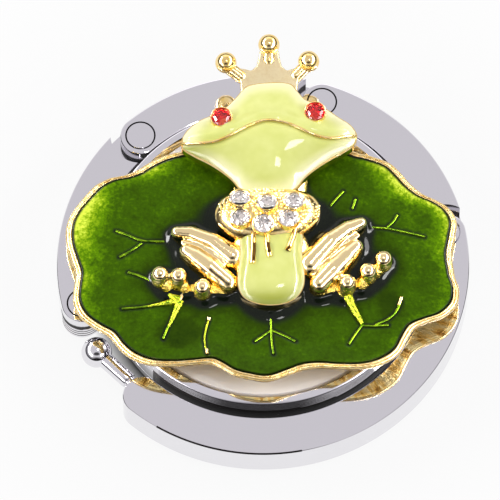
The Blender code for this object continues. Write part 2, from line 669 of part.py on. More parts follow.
def leaf_rim():
    """Rim places and heights of the lily pad, one for each spoke."""
    rows = smooth_closed(LEAF_RIM_SHARES, LEAF_SPOKES)
    outline = []
    heights = []
    for index, (radius_share, rise_share) in enumerate(rows):
        outline.append(on_ring(LEAF_RADIUS * radius_share, math.tau * index / LEAF_SPOKES).xy)
        heights.append(LEAF_RIM_LOW_Z + LEAF_RISE * rise_share)
    return outline, heights


def leaf_height(share, index, heights):
    return LEAF_CENTRE_Z + (heights[index] - LEAF_CENTRE_Z) * share ** LEAF_CUP_POWER


def build_lily_pad(group, cutters):
    outline, heights = leaf_rim()

    def underside(x, y, share, index):
        return leaf_height(share, index, heights) - LEAF_THICKNESS

    def face(x, y, share, index):
        lip = LEAF_LIP if LEAF_ENAMEL_SHARE + SHARE_TOLERANCE < share else 0.0
        return leaf_height(share, index, heights) + lip

    rings = LEAF_BED_SHARES + LEAF_LIP_SHARES
    pad = moulded_slab("lily_pad", outline, (0, 0), rings, underside, face, group)
    boss = cylinder(
        "leaf_boss", LEAF_BOSS_RADIUS, DISH_FLOOR_Z, LEAF_CENTRE_Z - LEAF_THICKNESS / 2, (0, 0),
        cutters)
    boolean(pad, as_cutter(boss), "UNION")
    return dress(apply_modifiers(pad), GOLD)


def build_leaf_enamel(group):
    outline, heights = leaf_rim()
    inner = [point * LEAF_ENAMEL_SHARE for point in outline]

    def bed(x, y, share, index):
        return leaf_height(share * LEAF_ENAMEL_SHARE, index, heights) + ENAMEL_BED_GAP

    def face(x, y, share, index):
        return bed(x, y, share, index) + ENAMEL_THICKNESS

    rings = [share / LEAF_ENAMEL_SHARE for share in LEAF_BED_SHARES]
    enamel = moulded_slab("leaf_enamel", inner, (0, 0), rings, bed, face, group)
    return dress(enamel, LEAF_GREEN)


def head_outline(share):
    rows = smooth_closed(HEAD_OUTLINE_SHARES, HEAD_SPOKES)
    centre = Vector((FROG_CENTRE_X, HEAD_CENTRE_Y))
    return [
        centre + on_ring(HEAD_HALF_WIDTH * row[0] * share, math.tau * i / HEAD_SPOKES).xy
        for i, row in enumerate(rows)]


def dome(base, edge, rise):
    """Height function of a low dome that falls to its edge."""
    def height(x, y, share, index):
        return base + edge + rise * (1 - share ** 2)
    return height


def flat(level):
    def height(x, y, share, index):
        return level
    return height


def oval(centre_y, half_width, half_length, spokes=RELIEF_SPOKES):
    return [
        Vector((FROG_CENTRE_X + half_width * math.cos(math.tau * i / spokes),
                centre_y + half_length * math.sin(math.tau * i / spokes)))
        for i in range(spokes)]


def relief(name, centre_y, half_width, half_length, bottom, top, edge, group, sink=0.0):
    """A domed oval; the sink is what it reaches below its bottom before the floor is cut."""
    outline = oval(centre_y, half_width, half_length)
    return moulded_slab(
        name, outline, (FROG_CENTRE_X, centre_y), RELIEF_RING_SHARES, flat(bottom - sink),
        dome(bottom, edge, top - bottom - edge), group)


def leg_points(shares, side):
    return [(FROG_CENTRE_X + side * LEG_REACH * x, LEG_REACH * y) for x, y in shares]


def limb(name, points, z, radius, group):
    """A tapering round limb through plan points at one height."""
    curve = bpy.data.curves.new(name, "CURVE")
    curve.dimensions = "3D"
    curve.bevel_depth = radius
    curve.bevel_resolution = 2
    curve.use_fill_caps = True
    spline = curve.splines.new("POLY")
    spline.points.add(len(points) - 1)
    for index, (x, y) in enumerate(points):
        spline.points[index].co = (x, y, z, 1.0)
        spline.points[index].radius = 1 - (1 - LEG_TAPER_SHARE) * index / (len(points) - 1)
    thing = bpy.data.objects.new(name, curve)
    group.objects.link(thing)
    mesh_thing = bpy.data.objects.new(
        name + "_solid", bpy.data.meshes.new_from_object(
            thing.evaluated_get(bpy.context.evaluated_depsgraph_get())))
    group.objects.link(mesh_thing)
    bpy.data.objects.remove(thing, do_unlink=True)
    return mesh_thing


def leg_pieces(side, label, group):
    pieces = [
        limb(label + "_thigh", leg_points(THIGH_SHARES, side), LEG_Z, LEG_RADIUS, group),
        limb(label + "_shin", leg_points(SHIN_SHARES, side), LEG_Z - SHIN_DROP, LEG_RADIUS, group),
        limb(label + "_calf", leg_points(CALF_SHARES, side), LEG_Z - CALF_DROP, CALF_RADIUS, group),
        limb(label + "_foot", leg_points(FOOT_SHARES, side), LEG_Z - FOOT_DROP, FOOT_RADIUS, group),
    ]
    roots = leg_points(TOE_ROOT_SHARES, side)
    stem_z = LEG_Z - TOE_STEM_DROP
    for index, point in enumerate(leg_points(TOE_SHARES, side)):
        stem = limb(
            f"{label}_toe_stem_{index}", [roots[index], point], stem_z, TOE_LINK_RADIUS, group)
        toe = ball_solid(
            f"{label}_toe_{index}", TOE_RADIUS, (*point, LEG_Z), TOE_SEGMENTS, group)
        pieces += [stem, toe]
    return pieces


def crown_pieces(group):
    centre = Vector((FROG_CENTRE_X, CROWN_BAND_Y))
    outline = [
        centre + Vector((x * CROWN_HALF_WIDTH, y * CROWN_HEIGHT)) for x, y in CROWN_OUTLINE_SHARES]
    pieces = [
        prism("crown_plate", outline, CROWN_BOTTOM_Z, CROWN_BOTTOM_Z + CROWN_THICKNESS, group)]
    for index, (x, y) in enumerate(CROWN_BALL_SHARES):
        place = centre + Vector((x * CROWN_HALF_WIDTH, y * CROWN_HEIGHT))
        pieces.append(ball_solid(
            f"crown_ball_{index}", CROWN_BALL_RADIUS, (*place, CROWN_BALL_Z),
            CROWN_BALL_SEGMENTS, group))
    return pieces


def collar_stone_places():
    centre = Vector((FROG_CENTRE_X, COLLAR_BAND_Y))
    return [
        centre + Vector((x * COLLAR_BAND_HALF_WIDTH, y * COLLAR_BAND_HALF_LENGTH))
        for x, y in COLLAR_STONE_SHARES]


def eye_places():
    return [Vector((FROG_CENTRE_X + side * EYE_X, EYE_Y)) for side in (-1, 1)]


def stone_profile(gap):
    """Half section of a cut stone whose girdle lies at height zero; a seat when grown."""
    overrun = CUT_OVERRUN if gap else 0.0
    radius = STONE_RADIUS + gap
    top = STONE_CROWN_HEIGHT + overrun
    table = radius if gap else radius * STONE_TABLE_SHARE
    return [
        (0.0, top), (table, top), (radius, STONE_GIRDLE_HEIGHT),
        (radius, -gap), (radius * STONE_CULET_SHARE, -STONE_PAVILION_HEIGHT - gap),
        (0.0, -STONE_PAVILION_HEIGHT - gap)]


def build_stone(name, place, z, look, group):
    stone = turned(name, stone_profile(0.0), STONE_SIDES, group)
    stone.location = (place.x, place.y, z)
    return dress(stone, look)


def stone_seat(name, place, z, cutters):
    seat = turned(name, stone_profile(STONE_SEAT_GAP), STONE_SIDES, cutters)
    seat.location = (place.x, place.y, z)
    return as_cutter(seat)


def collar_stone_z():
    return COLLAR_BAND_TOP_Z


def eye_stone_z():
    return EYE_TOP_Z - STONE_GIRDLE_HEIGHT


def bezel(name, place, cutters, grow=0.0):
    """Wall round an eye stone, or the room for it when grown."""
    overrun = CUT_OVERRUN if grow else 0.0
    return cylinder(
        name, STONE_RADIUS + BEZEL_WALL + grow, HEAD_PLATE_Z - HEAD_EDGE_RISE - overrun,
        EYE_TOP_Z + overrun, place, cutters, SMALL_SEGMENTS)


def build_frog(group, cutters):
    plate = moulded_slab(
        "frog_casting", head_outline(1.0), (FROG_CENTRE_X, HEAD_CENTRE_Y), RELIEF_RING_SHARES,
        flat(HEAD_BASE_Z), flat(HEAD_PLATE_Z), group)
    body = relief(
        "frog_body", BODY_CENTRE_Y, BODY_HALF_WIDTH, BODY_HALF_LENGTH, FROG_BASE_Z,
        BODY_TOP_Z, BODY_SIDE_HEIGHT, cutters, BODY_SINK)
    neck = relief(
        "frog_neck", (COLLAR_BAND_Y + HEAD_CENTRE_Y) / 2, BODY_HALF_WIDTH, BODY_HALF_LENGTH,
        FROG_BASE_Z, HEAD_PLATE_Z - HEAD_EDGE_RISE, BELLY_RISE, cutters, NECK_SINK)
    band = relief(
        "collar_band", COLLAR_BAND_Y, COLLAR_BAND_HALF_WIDTH, COLLAR_BAND_HALF_LENGTH,
        FROG_BASE_Z, COLLAR_BAND_TOP_Z, COLLAR_BAND_TOP_Z - FROG_BASE_Z - BELLY_RISE, cutters,
        BAND_SINK)
    pieces = [body, neck, band]
    pieces += leg_pieces(-1, "left", cutters)
    pieces += leg_pieces(1, "right", cutters)
    pieces += crown_pieces(cutters)
    pieces += [bezel(f"eye_bezel_{i}", place, cutters) for i, place in enumerate(eye_places())]
    for piece in pieces:
        boolean(plate, as_cutter(piece), "UNION")
    floor = prism(
        "leaf_room", [(-LEAF_RADIUS, -LEAF_RADIUS), (LEAF_RADIUS, -LEAF_RADIUS),
                      (LEAF_RADIUS, LEAF_RADIUS), (-LEAF_RADIUS, LEAF_RADIUS)],
        RING_TOP_Z, FROG_BASE_Z, cutters)
    boolean(plate, as_cutter(floor), "DIFFERENCE")
    belly_bed = belly_solid("belly_bed", BELLY_GAP, cutters)
    boolean(plate, as_cutter(belly_bed), "DIFFERENCE")
    for index, place in enumerate(collar_stone_places()):
        seat = stone_seat(f"collar_seat_{index}", place, collar_stone_z(), cutters)
        boolean(plate, seat, "DIFFERENCE")
    for index, place in enumerate(eye_places()):
        boolean(plate, stone_seat(f"eye_seat_{index}", place, eye_stone_z(), cutters), "DIFFERENCE")
    bpy.context.view_layer.update()
    return dress(apply_modifiers(plate), GOLD)


def belly_solid(name, grow, group):
    level = BODY_TOP_Z - BELLY_RISE
    outline = oval(BELLY_CENTRE_Y, BELLY_HALF_WIDTH + grow, BELLY_HALF_LENGTH + grow)
    rise = CUT_OVERRUN if grow else 0.0
    return moulded_slab(
        name, outline, (FROG_CENTRE_X, BELLY_CENTRE_Y), RELIEF_RING_SHARES, flat(level - grow),
        dome(level, BELLY_RISE / 2 + rise, BELLY_RISE), group)


def build_belly(group, cutters):
    belly = belly_solid("belly_enamel", 0.0, group)
    band = relief(
        "belly_band_room", COLLAR_BAND_Y, COLLAR_BAND_HALF_WIDTH + BELLY_GAP,
        COLLAR_BAND_HALF_LENGTH + BELLY_GAP, FROG_BASE_Z, COLLAR_BAND_TOP_Z + BELLY_GAP,
        COLLAR_BAND_TOP_Z - FROG_BASE_Z - BELLY_RISE, cutters)
    boolean(belly, as_cutter(band), "DIFFERENCE")
    return dress(apply_modifiers(belly), LIME)


def mouth_side(name, direction, cutters):
    """Everything on one side of the mouth line, as a prism over the head."""
    shift = direction * MOUTH_GAP / 2
    line = [
        (FROG_CENTRE_X + x * HEAD_HALF_WIDTH, HEAD_CENTRE_Y + y * HEAD_HALF_WIDTH + shift)
        for x, y in MOUTH_LINE_SHARES]
    far = HEAD_CENTRE_Y + direction * HEAD_HALF_WIDTH
    outline = line + [(line[-1][0], far), (line[0][0], far)]
    return prism(name, outline, HEAD_BASE_Z, EYE_TOP_Z + CUT_OVERRUN, cutters)


def build_head_enamel(name, direction, group, cutters):
    skin = moulded_slab(
        name, head_outline(HEAD_ENAMEL_SHARE), (FROG_CENTRE_X, HEAD_CENTRE_Y),
        HEAD_ENAMEL_RING_SHARES, flat(HEAD_PLATE_Z + BELLY_GAP),
        dome(HEAD_PLATE_Z, HEAD_EDGE_RISE, HEAD_DOME_RISE), group)
    boolean(skin, as_cutter(mouth_side(name + "_side", direction, cutters)), "INTERSECT")
    if 0 < direction:
        for index, place in enumerate(eye_places()):
            hole = bezel(f"eye_room_{index}", place, cutters, BELLY_GAP)
            boolean(skin, as_cutter(hole), "DIFFERENCE")
    band = relief(
        name + "_band_room", COLLAR_BAND_Y, COLLAR_BAND_HALF_WIDTH + BELLY_GAP,
        COLLAR_BAND_HALF_LENGTH + BELLY_GAP, FROG_BASE_Z, COLLAR_BAND_TOP_Z + BELLY_GAP,
        COLLAR_BAND_TOP_Z - FROG_BASE_Z - BELLY_RISE, cutters)
    boolean(skin, as_cutter(band), "DIFFERENCE")
    bpy.context.view_layer.update()
    return dress(apply_modifiers(skin), LIME)


def build_stones(group):
    for index, place in enumerate(collar_stone_places()):
        build_stone(f"collar_stone_{index + 1}", place, collar_stone_z(), CLEAR_STONE, group)
    for label, place in zip(("left", "right"), eye_places()):
        build_stone(f"eye_stone_{label}", place, eye_stone_z(), RED_STONE, group)


def main():
    clear_scene()
    parts = make_collection("purse_hook")
    cutters = make_collection("cutters")
    build_tray(parts, cutters)
    build_pad(parts)
    build_magnet(parts)
    build_knuckle(parts, cutters)
    build_swivel_pin(parts, cutters)
    build_first_link(parts, cutters)
    for name, start, end in (("link_b", 1, 2), ("link_c", 2, 3)):
        link = build_link(name, PIN_ANGLES[start], PIN_ANGLES[end], parts, cutters)
        dress(apply_modifiers(link), CHROME)
    build_hook_link(parts, cutters)
    for index, pin in enumerate(PIN_ANGLES):
        build_rivet(f"hinge_rivet_{index + 1}", pin, parts)
    build_tip_rod(parts, cutters)
    build_lily_pad(parts, cutters)
    build_leaf_enamel(parts)
    build_frog(parts, cutters)
    build_head_enamel("head_enamel_upper", 1, parts, cutters)
    build_head_enamel("head_enamel_lower", -1, parts, cutters)
    build_belly(parts, cutters)
    build_stones(parts)


main()
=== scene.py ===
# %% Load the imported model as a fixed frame
import math

import bmesh
import bpy
from mathutils import Matrix, Vector


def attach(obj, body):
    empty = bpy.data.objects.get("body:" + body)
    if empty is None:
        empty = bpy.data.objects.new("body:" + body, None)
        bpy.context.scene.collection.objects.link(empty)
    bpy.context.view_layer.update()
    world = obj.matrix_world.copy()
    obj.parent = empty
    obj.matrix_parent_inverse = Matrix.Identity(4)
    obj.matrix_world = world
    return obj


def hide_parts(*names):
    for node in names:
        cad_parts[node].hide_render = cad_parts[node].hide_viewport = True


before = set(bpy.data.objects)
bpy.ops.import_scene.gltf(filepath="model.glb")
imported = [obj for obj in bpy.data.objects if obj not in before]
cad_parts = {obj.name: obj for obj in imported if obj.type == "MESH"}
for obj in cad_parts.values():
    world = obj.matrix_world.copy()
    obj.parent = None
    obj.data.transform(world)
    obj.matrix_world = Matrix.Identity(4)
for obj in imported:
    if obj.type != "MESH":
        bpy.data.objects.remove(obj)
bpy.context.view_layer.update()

MM = 0.001

# %% [markdown]
# # A folding purse hook, dressed for its portrait
# The real object is a chromed table hook. Four arc links fold round a chromed disc, and on the
# disc sits a gold lily pad with green enamel and a crowned frog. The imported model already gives
# the sizes and the joints. This lesson replaces its plain solids one by one with finer meshes
# and gives each a finish. Each piece keeps the place of the solid that it stands for.

# %% [markdown]
# ## The camera comes first
# The photograph was taken from far away, so that near and far links look the same size. The top
# of the ring is squeezed to 0.92 of its width, and the sine of the camera's height angle is
# that number, so the camera looks down by 67 degrees. A very long lens far off gives the same
# flat view and still lets the camera orbit in other views.

# %% Camera at the photograph's angle
VIEW_HEIGHT_ANGLE = math.radians(67.0)
VIEW_DISTANCE = 1.2
VIEW_WIDTH = 55.8 * MM
VIEW_CENTRE = Vector((-1.46, 1.58, 5.0)) * MM
SENSOR_WIDTH = 36.0


def add_camera():
    data = bpy.data.cameras.new("portrait_camera")
    data.sensor_width = SENSOR_WIDTH
    data.lens = SENSOR_WIDTH * VIEW_DISTANCE / VIEW_WIDTH
    data.clip_start = 0.01
    data.clip_end = 20.0
    camera = bpy.data.objects.new("portrait_camera", data)
    back = Vector((0, -math.cos(VIEW_HEIGHT_ANGLE), math.sin(VIEW_HEIGHT_ANGLE)))
    camera.location = VIEW_CENTRE + back * VIEW_DISTANCE
    camera.rotation_euler = (math.pi / 2 - VIEW_HEIGHT_ANGLE, 0, 0)
    bpy.context.scene.collection.objects.link(camera)
    bpy.context.scene.camera = camera
    return camera


bpy.context.scene.view_settings.view_transform = "Standard"
print("lens", round(add_camera().data.lens), "mm")

# %% [markdown]
# ## Helpers for meshes
# Most pieces here are lofts: rings of points with the same count, joined by quads. A disc, a
# rivet, a stone and even the wavy leaf are all lofts with different rings. One helper makes
# them all, and another hands a finished piece over to its body and hides the CAD node that it
# stands for. Points are given in millimetres, and become metres only as they enter a mesh.

# %% Mesh helpers
SHARP = math.radians(32)


def new_object(name, mesh):
    thing = bpy.data.objects.new(name, mesh)
    bpy.context.scene.collection.objects.link(thing)
    return thing


def raw_object(name, verts, edges, faces):
    """An object from points in millimetres."""
    mesh = bpy.data.meshes.new(name)
    mesh.from_pydata([tuple(Vector(v) * MM) for v in verts], edges, faces)
    return new_object(name, mesh)


def mesh_object(name, verts, faces, sharp=SHARP):
    return tidy_normals(raw_object(name, verts, [], faces), sharp)


def tidy_normals(thing, sharp=SHARP):
    """Faces outwards, smooth, with a crisp edge where faces turn by more than an angle."""
    bm = bmesh.new()
    bm.from_mesh(thing.data)
    bmesh.ops.recalc_face_normals(bm, faces=bm.faces)
    bm.to_mesh(thing.data)
    bm.free()
    return shade(thing, sharp)


def shade(thing, sharp):
    thing.data.shade_smooth()
    thing.data.set_sharp_from_angle(angle=sharp)
    return thing


def circle(radius, z, sides, centre=(0.0, 0.0), shift=0.0):
    """Points round a centre, turned on by a share of their spacing."""
    turns = [math.tau * (i + shift) / sides for i in range(sides)]
    return [Vector((centre[0] + radius * math.cos(a), centre[1] + radius * math.sin(a), z))
            for a in turns]


def loft(name, rings, first_tip=None, last_tip=None, sharp=SHARP):
    """Quads between rings of equal length; a tip closes the first or the last ring."""
    count = len(rings[0])
    verts = [point for ring in rings for point in ring]
    faces = []
    for row in range(len(rings) - 1):
        low, high = row * count, (row + 1) * count
        for i in range(count):
            j = (i + 1) % count
            faces.append((low + i, low + j, high + j, high + i))
    for tip, base in ((first_tip, 0), (last_tip, (len(rings) - 1) * count)):
        if tip is not None:
            verts.append(tip)
            faces += [(base + i, base + (i + 1) % count, len(verts) - 1) for i in range(count)]
    return mesh_object(name, verts, faces, sharp)


def turned(name, profile, sides, centre=(0.0, 0.0), sharp=SHARP):
    """A solid of revolution from (radius, height) pairs, the first and the last on the axis."""
    rings = [circle(radius, z, sides, centre) for radius, z in profile[1:-1]]
    tips = [Vector((centre[0], centre[1], profile[k][1])) for k in (0, -1)]
    return loft(name, rings, *tips, sharp)


def column(name, radius, low, high, sides, centre=(0.0, 0.0)):
    """A plain upright cylinder."""
    profile = [(0, low), (radius, low), (radius, high), (0, high)]
    return turned(name, profile, sides, centre)


def lay_along(thing, origin, direction):
    """Turns a piece made round Z so that Z runs along a direction from an origin."""
    turn = direction.to_track_quat("Z", "Y").to_matrix().to_4x4()
    thing.data.transform(Matrix.Translation(origin * MM) @ turn)
    return thing


def to_plain_mesh(thing):
    """The result of all modifiers as a plain mesh, with the modifiers gone."""
    graph = bpy.context.evaluated_depsgraph_get()
    mesh = bpy.data.meshes.new_from_object(thing.evaluated_get(graph), depsgraph=graph)
    thing.modifiers.clear()
    thing.data = mesh
    return thing


def modified(thing, kind, **settings):
    """One modifier with its settings, applied at once."""
    modifier = thing.modifiers.new(kind.title(), kind)
    for label, value in settings.items():
        setattr(modifier, label, value)
    return to_plain_mesh(thing)


def store(thing, name, values):
    """Keeps one number for each point, for a material to read."""
    layer = thing.data.attributes.new(name, "FLOAT", "POINT")
    for point, value in zip(layer.data, values):
        point.value = value


def paint(thing, material):
    thing.data.materials.clear()
    thing.data.materials.append(material)
    return thing


def refinish(thing, material, rule):
    """Another finish for the faces that a rule picks by centre in millimetres and normal."""
    finishes = thing.data.materials
    if material.name not in finishes:
        finishes.append(material)
    index = finishes.find(material.name)
    for face in thing.data.polygons:
        if rule(face.center / MM, face.normal):
            face.material_index = index


def seat(thing, body, slot, *nodes):
    """Hands a finished piece over to its body and hides the CAD nodes that it stands for; the slot is
    not used.
    """
    if nodes:
        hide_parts(*nodes)
    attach(thing, body)
    tris = sum(len(p.vertices) - 2 for p in thing.data.polygons)
    print(f"{thing.name}: {tris} triangles on {body}")
    return thing


def gild(thing, finish=None, *nodes):
    """Seats a golden piece on the disc; a piece from a node tree has its finish already."""
    return seat(paint(thing, finish) if finish else thing, "disc", "gold_plate", *nodes)


def discard(thing):
    bpy.data.objects.remove(thing, do_unlink=True)


# %% [markdown]
# ## Curves through measured rows
# The rim of the leaf and the outline of the head were measured as a few dozen rows. A
# Catmull-Rom curve passes through every row and stays smooth between them, so the same rows
# give a coarse rim in the CAD model and a fine one here.

# %% Smooth tables
def through(p0, p1, p2, p3, t):
    return 0.5 * (2 * p1 + (p2 - p0) * t + (2 * p0 - 5 * p1 + 4 * p2 - p3) * t * t
                  + (3 * p1 - p0 - 3 * p2 + p3) * t ** 3)


def round_table(rows, degrees):
    """Values at an angle on a closed curve through (degrees, value, ...) rows."""
    degrees %= 360
    after = next((i for i, row in enumerate(rows) if row[0] > degrees), 0)
    picks = [rows[(after + k) % len(rows)] for k in (-2, -1, 0, 1)]
    t = ((degrees - picks[1][0]) % 360) / ((picks[2][0] - picks[1][0]) % 360)
    return [through(*(pick[c] for pick in picks), t) for c in range(1, len(rows[0]))]


def open_curve(points, samples):
    """Points on a smooth open curve through plan points."""
    points = [Vector(p) for p in points]
    padded = [2 * points[0] - points[1], *points, 2 * points[-1] - points[-2]]
    spans = len(points) - 1
    result = []
    for k in range(samples + 1):
        place = min(k * spans / samples, spans - 1e-9)
        i = int(place)
        result.append(through(*padded[i:i + 4], place - i))
    return result


def ease(low, high, value):
    """Zero below low, one above high, smooth between."""
    t = min(1.0, max(0.0, (value - low) / (high - low)))
    return t * t * (3 - 2 * t)


# %% [markdown]
# ## Nodes in few words
# A finish is a small graph of nodes. One helper adds a node and takes its inputs by name: a
# socket is linked and a number or colour is set. Short forms of it make the nodes that come
# back most: arithmetic, a change of range and a ramp of colours.

# %% Node helpers
def add_node(tree, kind, inputs=None, **settings):
    node = tree.nodes.new(kind)
    for label, value in settings.items():
        setattr(node, label, value)
    for label, value in (inputs or {}).items():
        if isinstance(value, bpy.types.NodeSocket):
            tree.links.new(value, node.inputs[label])
        else:
            node.inputs[label].default_value = value
    return node


def math_node(tree, operation, *values):
    return add_node(tree, "ShaderNodeMath", dict(enumerate(values)), operation=operation).outputs[0]


def map_range(tree, value, source=(0.0, 1.0), target=(0.0, 1.0)):
    return add_node(tree, "ShaderNodeMapRange", {
        "Value": value, "From Min": source[0], "From Max": source[1],
        "To Min": target[0], "To Max": target[1]}).outputs["Result"]


def colour_ramp(tree, value, stops):
    """Colours along a mask."""
    ramp = add_node(tree, "ShaderNodeValToRGB", {"Fac": value})
    bands = ramp.color_ramp.elements
    while len(bands) < len(stops):
        bands.new(0.5)
    for band, (place, colour) in zip(bands, stops):
        band.position = place
        band.color = (*colour, 1.0)
    return ramp.outputs["Color"]


def mix_colour(tree, factor, first, second):
    """Fades a colour socket into a plain colour."""
    mix = add_node(tree, "ShaderNodeMix", data_type="RGBA")
    picks = {s.name: s for s in mix.inputs if s.type == "RGBA"}
    tree.links.new(factor, mix.inputs["Factor"])
    tree.links.new(first, picks["A"])
    picks["B"].default_value = (*second, 1.0)
    return next(s for s in mix.outputs if s.type == "RGBA")


def vector_length(tree, vector):
    return add_node(tree, "ShaderNodeVectorMath", {0: vector}, operation="LENGTH").outputs["Value"]


def place_axes(tree, label="Object"):
    """Coordinates, and the sockets of their three parts."""
    coords = add_node(tree, "ShaderNodeTexCoord").outputs[label]
    return coords, add_node(tree, "ShaderNodeSeparateXYZ", {0: coords}).outputs


def node_group(name, kind, inputs, outputs):
    tree = bpy.data.node_groups.new(name, kind)
    for label, socket_type, value in inputs:
        socket = tree.interface.new_socket(label, in_out="INPUT", socket_type=socket_type)
        if value is not None:
            socket.default_value = value
    for label, socket_type in outputs:
        tree.interface.new_socket(label, in_out="OUTPUT", socket_type=socket_type)
    return tree, tree.nodes.new("NodeGroupInput"), tree.nodes.new("NodeGroupOutput")


# %% [markdown]
# ## Shader groups
# Two effects come back in several finishes. Cast metal and enamel are never quite even, so
# one group gives fine cloudy variation. Polished plating carries hairline scratches and
# wiping marks, so a second group gives a faint height for a Bump node. Both put out only
# masks, and each material sets its own amounts.

# %% Shader groups
def make_cloud_group():
    """Two sizes of soft noise, mixed into one mask between zero and one."""
    tree, start, end = node_group(
        "uneven_cast", "ShaderNodeTree",
        [("Scale", "NodeSocketFloat", 900.0), ("Fine", "NodeSocketFloat", 4.0)],
        [("Mask", "NodeSocketFloat")])
    coords = add_node(tree, "ShaderNodeTexCoord").outputs["Object"]
    scale = start.outputs["Scale"]
    finer = math_node(tree, "MULTIPLY", scale, start.outputs["Fine"])
    broad, fine = (
        add_node(tree, "ShaderNodeTexNoise", {"Vector": coords, "Scale": size, "Detail": detail})
        for size, detail in ((scale, 3.0), (finer, 2.0)))
    share = math_node(tree, "MULTIPLY", broad.outputs["Fac"], 0.6)
    mask = math_node(tree, "MULTIPLY_ADD", fine.outputs["Fac"], 0.4, share)
    tree.links.new(mask, end.inputs["Mask"])
    return tree


def make_hairline_group():
    """Long thin scratches in one direction, broken up so that they come and go."""
    tree, start, end = node_group(
        "hairlines", "ShaderNodeTree", [("Density", "NodeSocketFloat", 2500.0)],
        [("Height", "NodeSocketFloat")])
    stretch = add_node(tree, "ShaderNodeMapping", {
        "Vector": add_node(tree, "ShaderNodeTexCoord").outputs["Object"],
        "Rotation": (0.0, 0.0, 0.5), "Scale": (1.0, 0.02, 1.0)})
    noise = add_node(tree, "ShaderNodeTexNoise", {
        "Vector": stretch.outputs["Vector"], "Scale": start.outputs["Density"], "Detail": 2.0})
    tree.links.new(map_range(tree, noise.outputs["Fac"], (0.62, 0.75)), end.inputs["Height"])
    return tree


CLOUDS = make_cloud_group()
HAIRLINES = make_hairline_group()
print("shader groups:", CLOUDS.name, HAIRLINES.name)

# %% [markdown]
# ## Finishes
# Every material is a Principled BSDF. The constants sit on its own sockets, and only what
# changes over the surface comes through nodes. A short helper starts one, and a few more add
# a cloudy colour, a range of dullness and a bump.

# %% Material helpers
def start_material(name, colour, roughness, metallic, **extra):
    material = bpy.data.materials.new(name)
    material.use_nodes = True
    shader = material.node_tree.nodes["Principled BSDF"]
    shader.inputs["Base Color"].default_value = (*colour, 1.0)
    shader.inputs["Roughness"].default_value = roughness
    shader.inputs["Metallic"].default_value = metallic
    for label, value in extra.items():
        shader.inputs[label.replace("_", " ")].default_value = value
    material.diffuse_color = (*colour, 1.0)
    return material, material.node_tree, shader


def clouds(tree, scale, fine):
    return add_node(tree, "ShaderNodeGroup", {"Scale": scale, "Fine": fine},
                    node_tree=CLOUDS).outputs["Mask"]


def hairlines(tree, density):
    return add_node(tree, "ShaderNodeGroup", {"Density": density},
                    node_tree=HAIRLINES).outputs["Height"]


def add_bump(tree, shader, height, strength, distance):
    bump = add_node(tree, "ShaderNodeBump", {
        "Height": height, "Strength": strength, "Distance": distance * MM})
    tree.links.new(bump.outputs["Normal"], shader.inputs["Normal"])


def add_ramp(tree, shader, mask, stops):
    tree.links.new(colour_ramp(tree, mask, stops), shader.inputs["Base Color"])


def add_range(tree, shader, mask, low, high):
    tree.links.new(map_range(tree, mask, target=(low, high)), shader.inputs["Roughness"])


# %% Metal finishes
def chrome_finish(name, colour, low, high, metallic=1.0):
    """Mirror plating with hairlines and slightly duller wiped patches."""
    material, tree, shader = start_material(name, colour, low, metallic)
    add_range(tree, shader, clouds(tree, 260.0, 6.0), low, high)
    add_bump(tree, shader, hairlines(tree, 2600.0), 0.12, 0.004)
    return material


def gold_finish(name, pale, deep, low, high, grain, depth, metallic=1.0):
    """Pale gold plating over a casting, deeper in colour where the clouds are low."""
    material, tree, shader = start_material(name, pale, low, metallic)
    mask = clouds(tree, grain, 3.0)
    add_ramp(tree, shader, mask, [(0.35, deep), (0.6, pale)])
    add_range(tree, shader, mask, high, low)
    add_bump(tree, shader, mask, 0.6, depth)
    return material


def carved_gold_finish():
    """Pale polished ridges and deep pitted valleys, told apart by height on the casting; the deeper
    yellow of the valleys is painted reflected light.
    """
    material, tree, shader = start_material("carved_gold", (1.0, 0.79, 0.4), 0.1, 1.0)
    ridge_z, valley_z = 10.25 * MM, 9.5 * MM
    deep = map_range(tree, place_axes(tree)[1]["Z"], (ridge_z, valley_z))
    # Painted reflected light: the gold turns a deeper yellow towards the valleys.
    add_ramp(tree, shader, deep, [
        (0.0, (1.0, 0.80, 0.43)), (0.5, (1.0, 0.78, 0.26)), (1.0, (1.0, 0.72, 0.16))])
    add_range(tree, shader, deep, 0.08, 0.22)
    rough = math_node(tree, "MULTIPLY_ADD", deep, 0.9, 0.1)
    pits = math_node(tree, "MULTIPLY", clouds(tree, 2400.0, 2.5), rough)
    add_bump(tree, shader, pits, 0.85, 0.3)
    return material


def ribbed_shaded_gold_finish():
    """The leaf's unpolished underside: file marks that run outwards, in bright gold and a dark brown
    that is painted shade under the leaf.
    """
    material, tree, shader = start_material("ribbed_shaded_underside", (0.9, 0.6, 0.18), 0.22, 0.6)
    coords, axes = place_axes(tree)
    turn = math_node(tree, "ARCTAN2", axes["Y"], axes["X"])
    place = add_node(tree, "ShaderNodeCombineXYZ", {
        "X": math_node(tree, "MULTIPLY", turn, 22.0),
        "Y": math_node(tree, "MULTIPLY", vector_length(tree, coords), 260.0)})
    marks = add_node(tree, "ShaderNodeTexNoise", {
        "Vector": place.outputs[0], "Scale": 1.6, "Detail": 3.0}).outputs["Fac"]
    add_ramp(tree, shader, marks, [
        (0.34, (0.36, 0.17, 0.02)), (0.42, (0.95, 0.58, 0.12)), (0.56, (1.0, 0.82, 0.36))])
    add_range(tree, shader, marks, 0.35, 0.15)
    add_bump(tree, shader, marks, 0.8, 0.25)
    return material


CHROME_COLOUR = (0.80, 0.79, 0.82)


